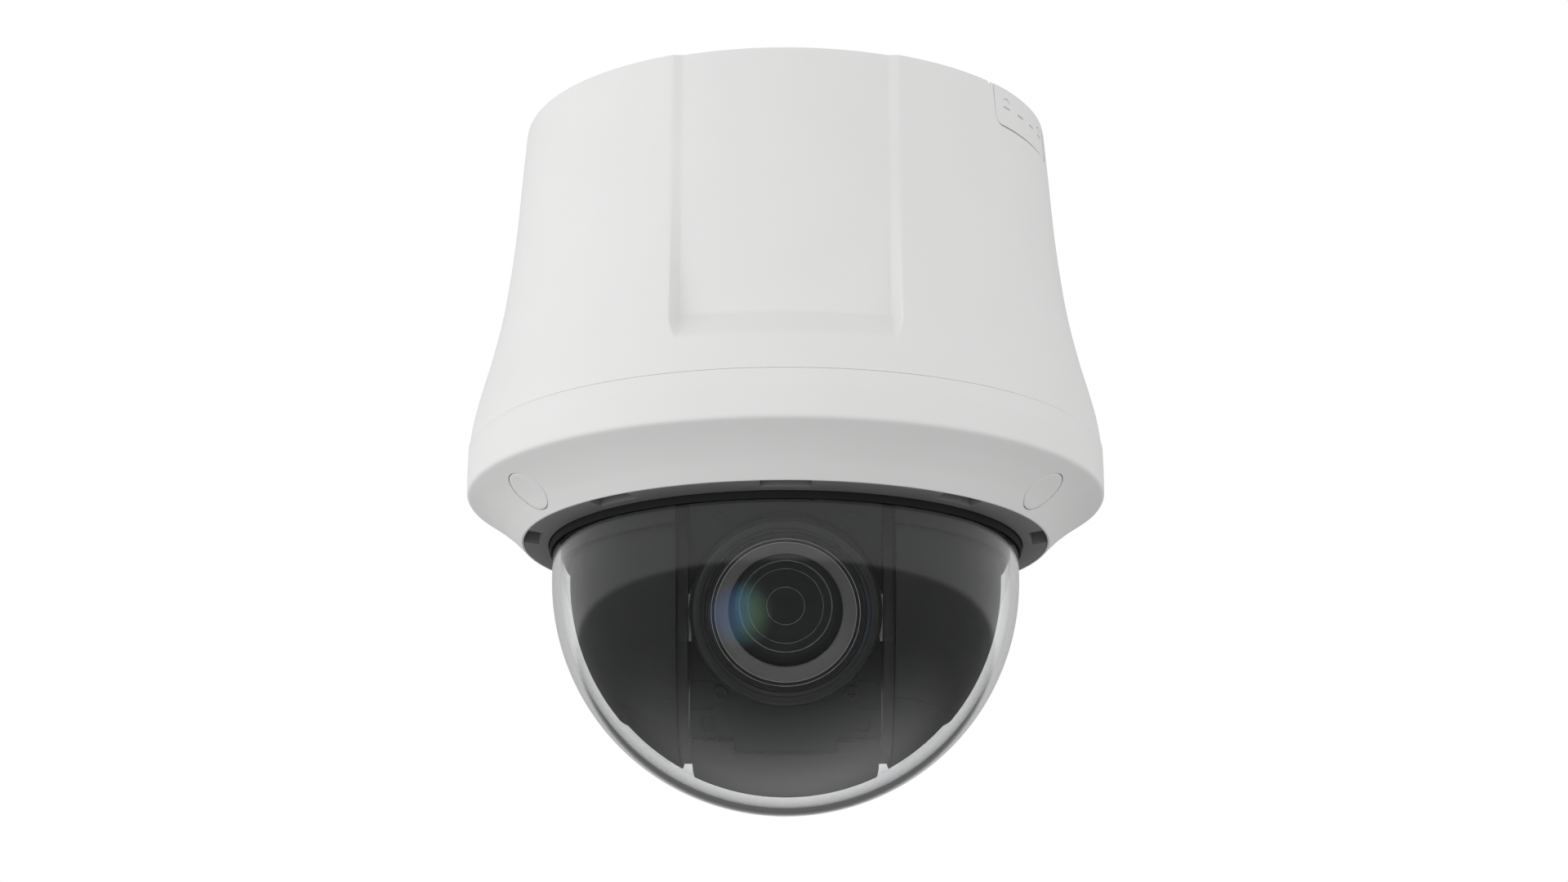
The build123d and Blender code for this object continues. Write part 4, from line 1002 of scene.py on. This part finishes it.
def soft_light(tree, side, height):
    """Light that is strongest at eye level and from the left, weaker from the floor, with brighter flanks."""
    below = ease(tree, height, -0.75, 0.0, 0.47, 1.30)
    above = ease(tree, height, 0.1, 0.9, 1.0, 0.48)
    level = maths(tree, "MULTIPLY", below, above)
    level = maths(tree, "MULTIPLY", level, ease(tree, side, -0.9, 0.9, 1.18, 0.84))
    flank = ease(tree, maths(tree, "ABSOLUTE", side, 0.0), 0.8, 1.0, 1.0, 1.3)
    return maths(tree, "MULTIPLY", level, flank)


def reflected_bands(tree, side, depth, height):
    """What gloss picks up: a bright upper half, a glow from below and behind, and a dim rest."""
    upper = ease(tree, height, -0.06, -0.01, 0.0, 0.42)
    behind = ease(tree, depth, -0.5, 0.8, 0.0, 1.0)
    lower = maths(tree, "MULTIPLY", ease(tree, height, -0.35, -1.0, 0.0, 0.8), behind)
    lower = maths(tree, "MULTIPLY", lower, ease(tree, side, -0.6, 0.6, 0.8, 1.2))
    return maths(tree, "ADD", maths(tree, "ADD", upper, lower), 0.12)


def small_lamp(tree, coords):
    """A small round light in front, low and to the left, which shows only in gloss."""
    toward = tree.nodes.new("ShaderNodeVectorMath")
    toward.operation = "DOT_PRODUCT"
    toward.inputs[1].default_value = (-0.38, -0.80, -0.46)
    tree.links.new(coords, toward.inputs[0])
    return ease(tree, toward.outputs["Value"], 0.955, 0.998, 0.0, 1.2)


def lamp_hue(tree, side):
    """The lamp's colour, from blue at its left through teal to green."""
    hue = tree.nodes.new("ShaderNodeValToRGB")
    hue.color_ramp.elements[0].color = (0.30, 0.50, 1.0, 1)
    hue.color_ramp.elements[1].color = (0.42, 0.62, 0.42, 1)
    hue.color_ramp.elements.new(0.5).color = (0.35, 0.72, 0.85, 1)
    tree.links.new(ease(tree, side, -0.50, -0.22, 0.0, 1.0), hue.inputs["Fac"])
    return hue.outputs["Color"]


# ------------------------------------------------------------------ panel and run

STEPS = [
    DOMECAM_OT_finishes, DOMECAM_OT_back_box, DOMECAM_OT_trim_ring, DOMECAM_OT_screw_caps,
    DOMECAM_OT_bubble_ring, DOMECAM_OT_bubble, DOMECAM_OT_front_cover, DOMECAM_OT_lens_front,
    DOMECAM_OT_lens_glass, DOMECAM_OT_stage,
]


class DOMECAM_PT_panel(bpy.types.Panel):
    """Lists the steps that build the camera"""

    bl_label = "Dome Camera"
    bl_idname = "DOMECAM_PT_panel"
    bl_space_type = "VIEW_3D"
    bl_region_type = "UI"
    bl_category = "Dome Camera"

    def draw(self, context):
        for key in SETTINGS:
            group = getattr(context.scene, key)
            for name in group.__annotations__:
                self.layout.prop(group, name)
        for step in STEPS:
            self.layout.operator(step.bl_idname)


SETTINGS = {
    "dome_shell": ShellSettings, "dome_bubble": BubbleSettings, "dome_camera": CameraSettings,
    "dome_stage": StageSettings,
}
CLASSES = [*SETTINGS.values(), *STEPS, DOMECAM_PT_panel]


def register():
    for cls in CLASSES:
        bpy.utils.register_class(cls)
    for key, group in SETTINGS.items():
        setattr(bpy.types.Scene, key, PointerProperty(type=group))


def unregister():
    for key in SETTINGS:
        delattr(bpy.types.Scene, key)
    for cls in reversed(CLASSES):
        bpy.utils.unregister_class(cls)


def main():
    register()
    for step in STEPS:
        family, name = step.bl_idname.split(".")
        getattr(getattr(bpy.ops, family), name)()


if __name__ == "__main__":
    main()
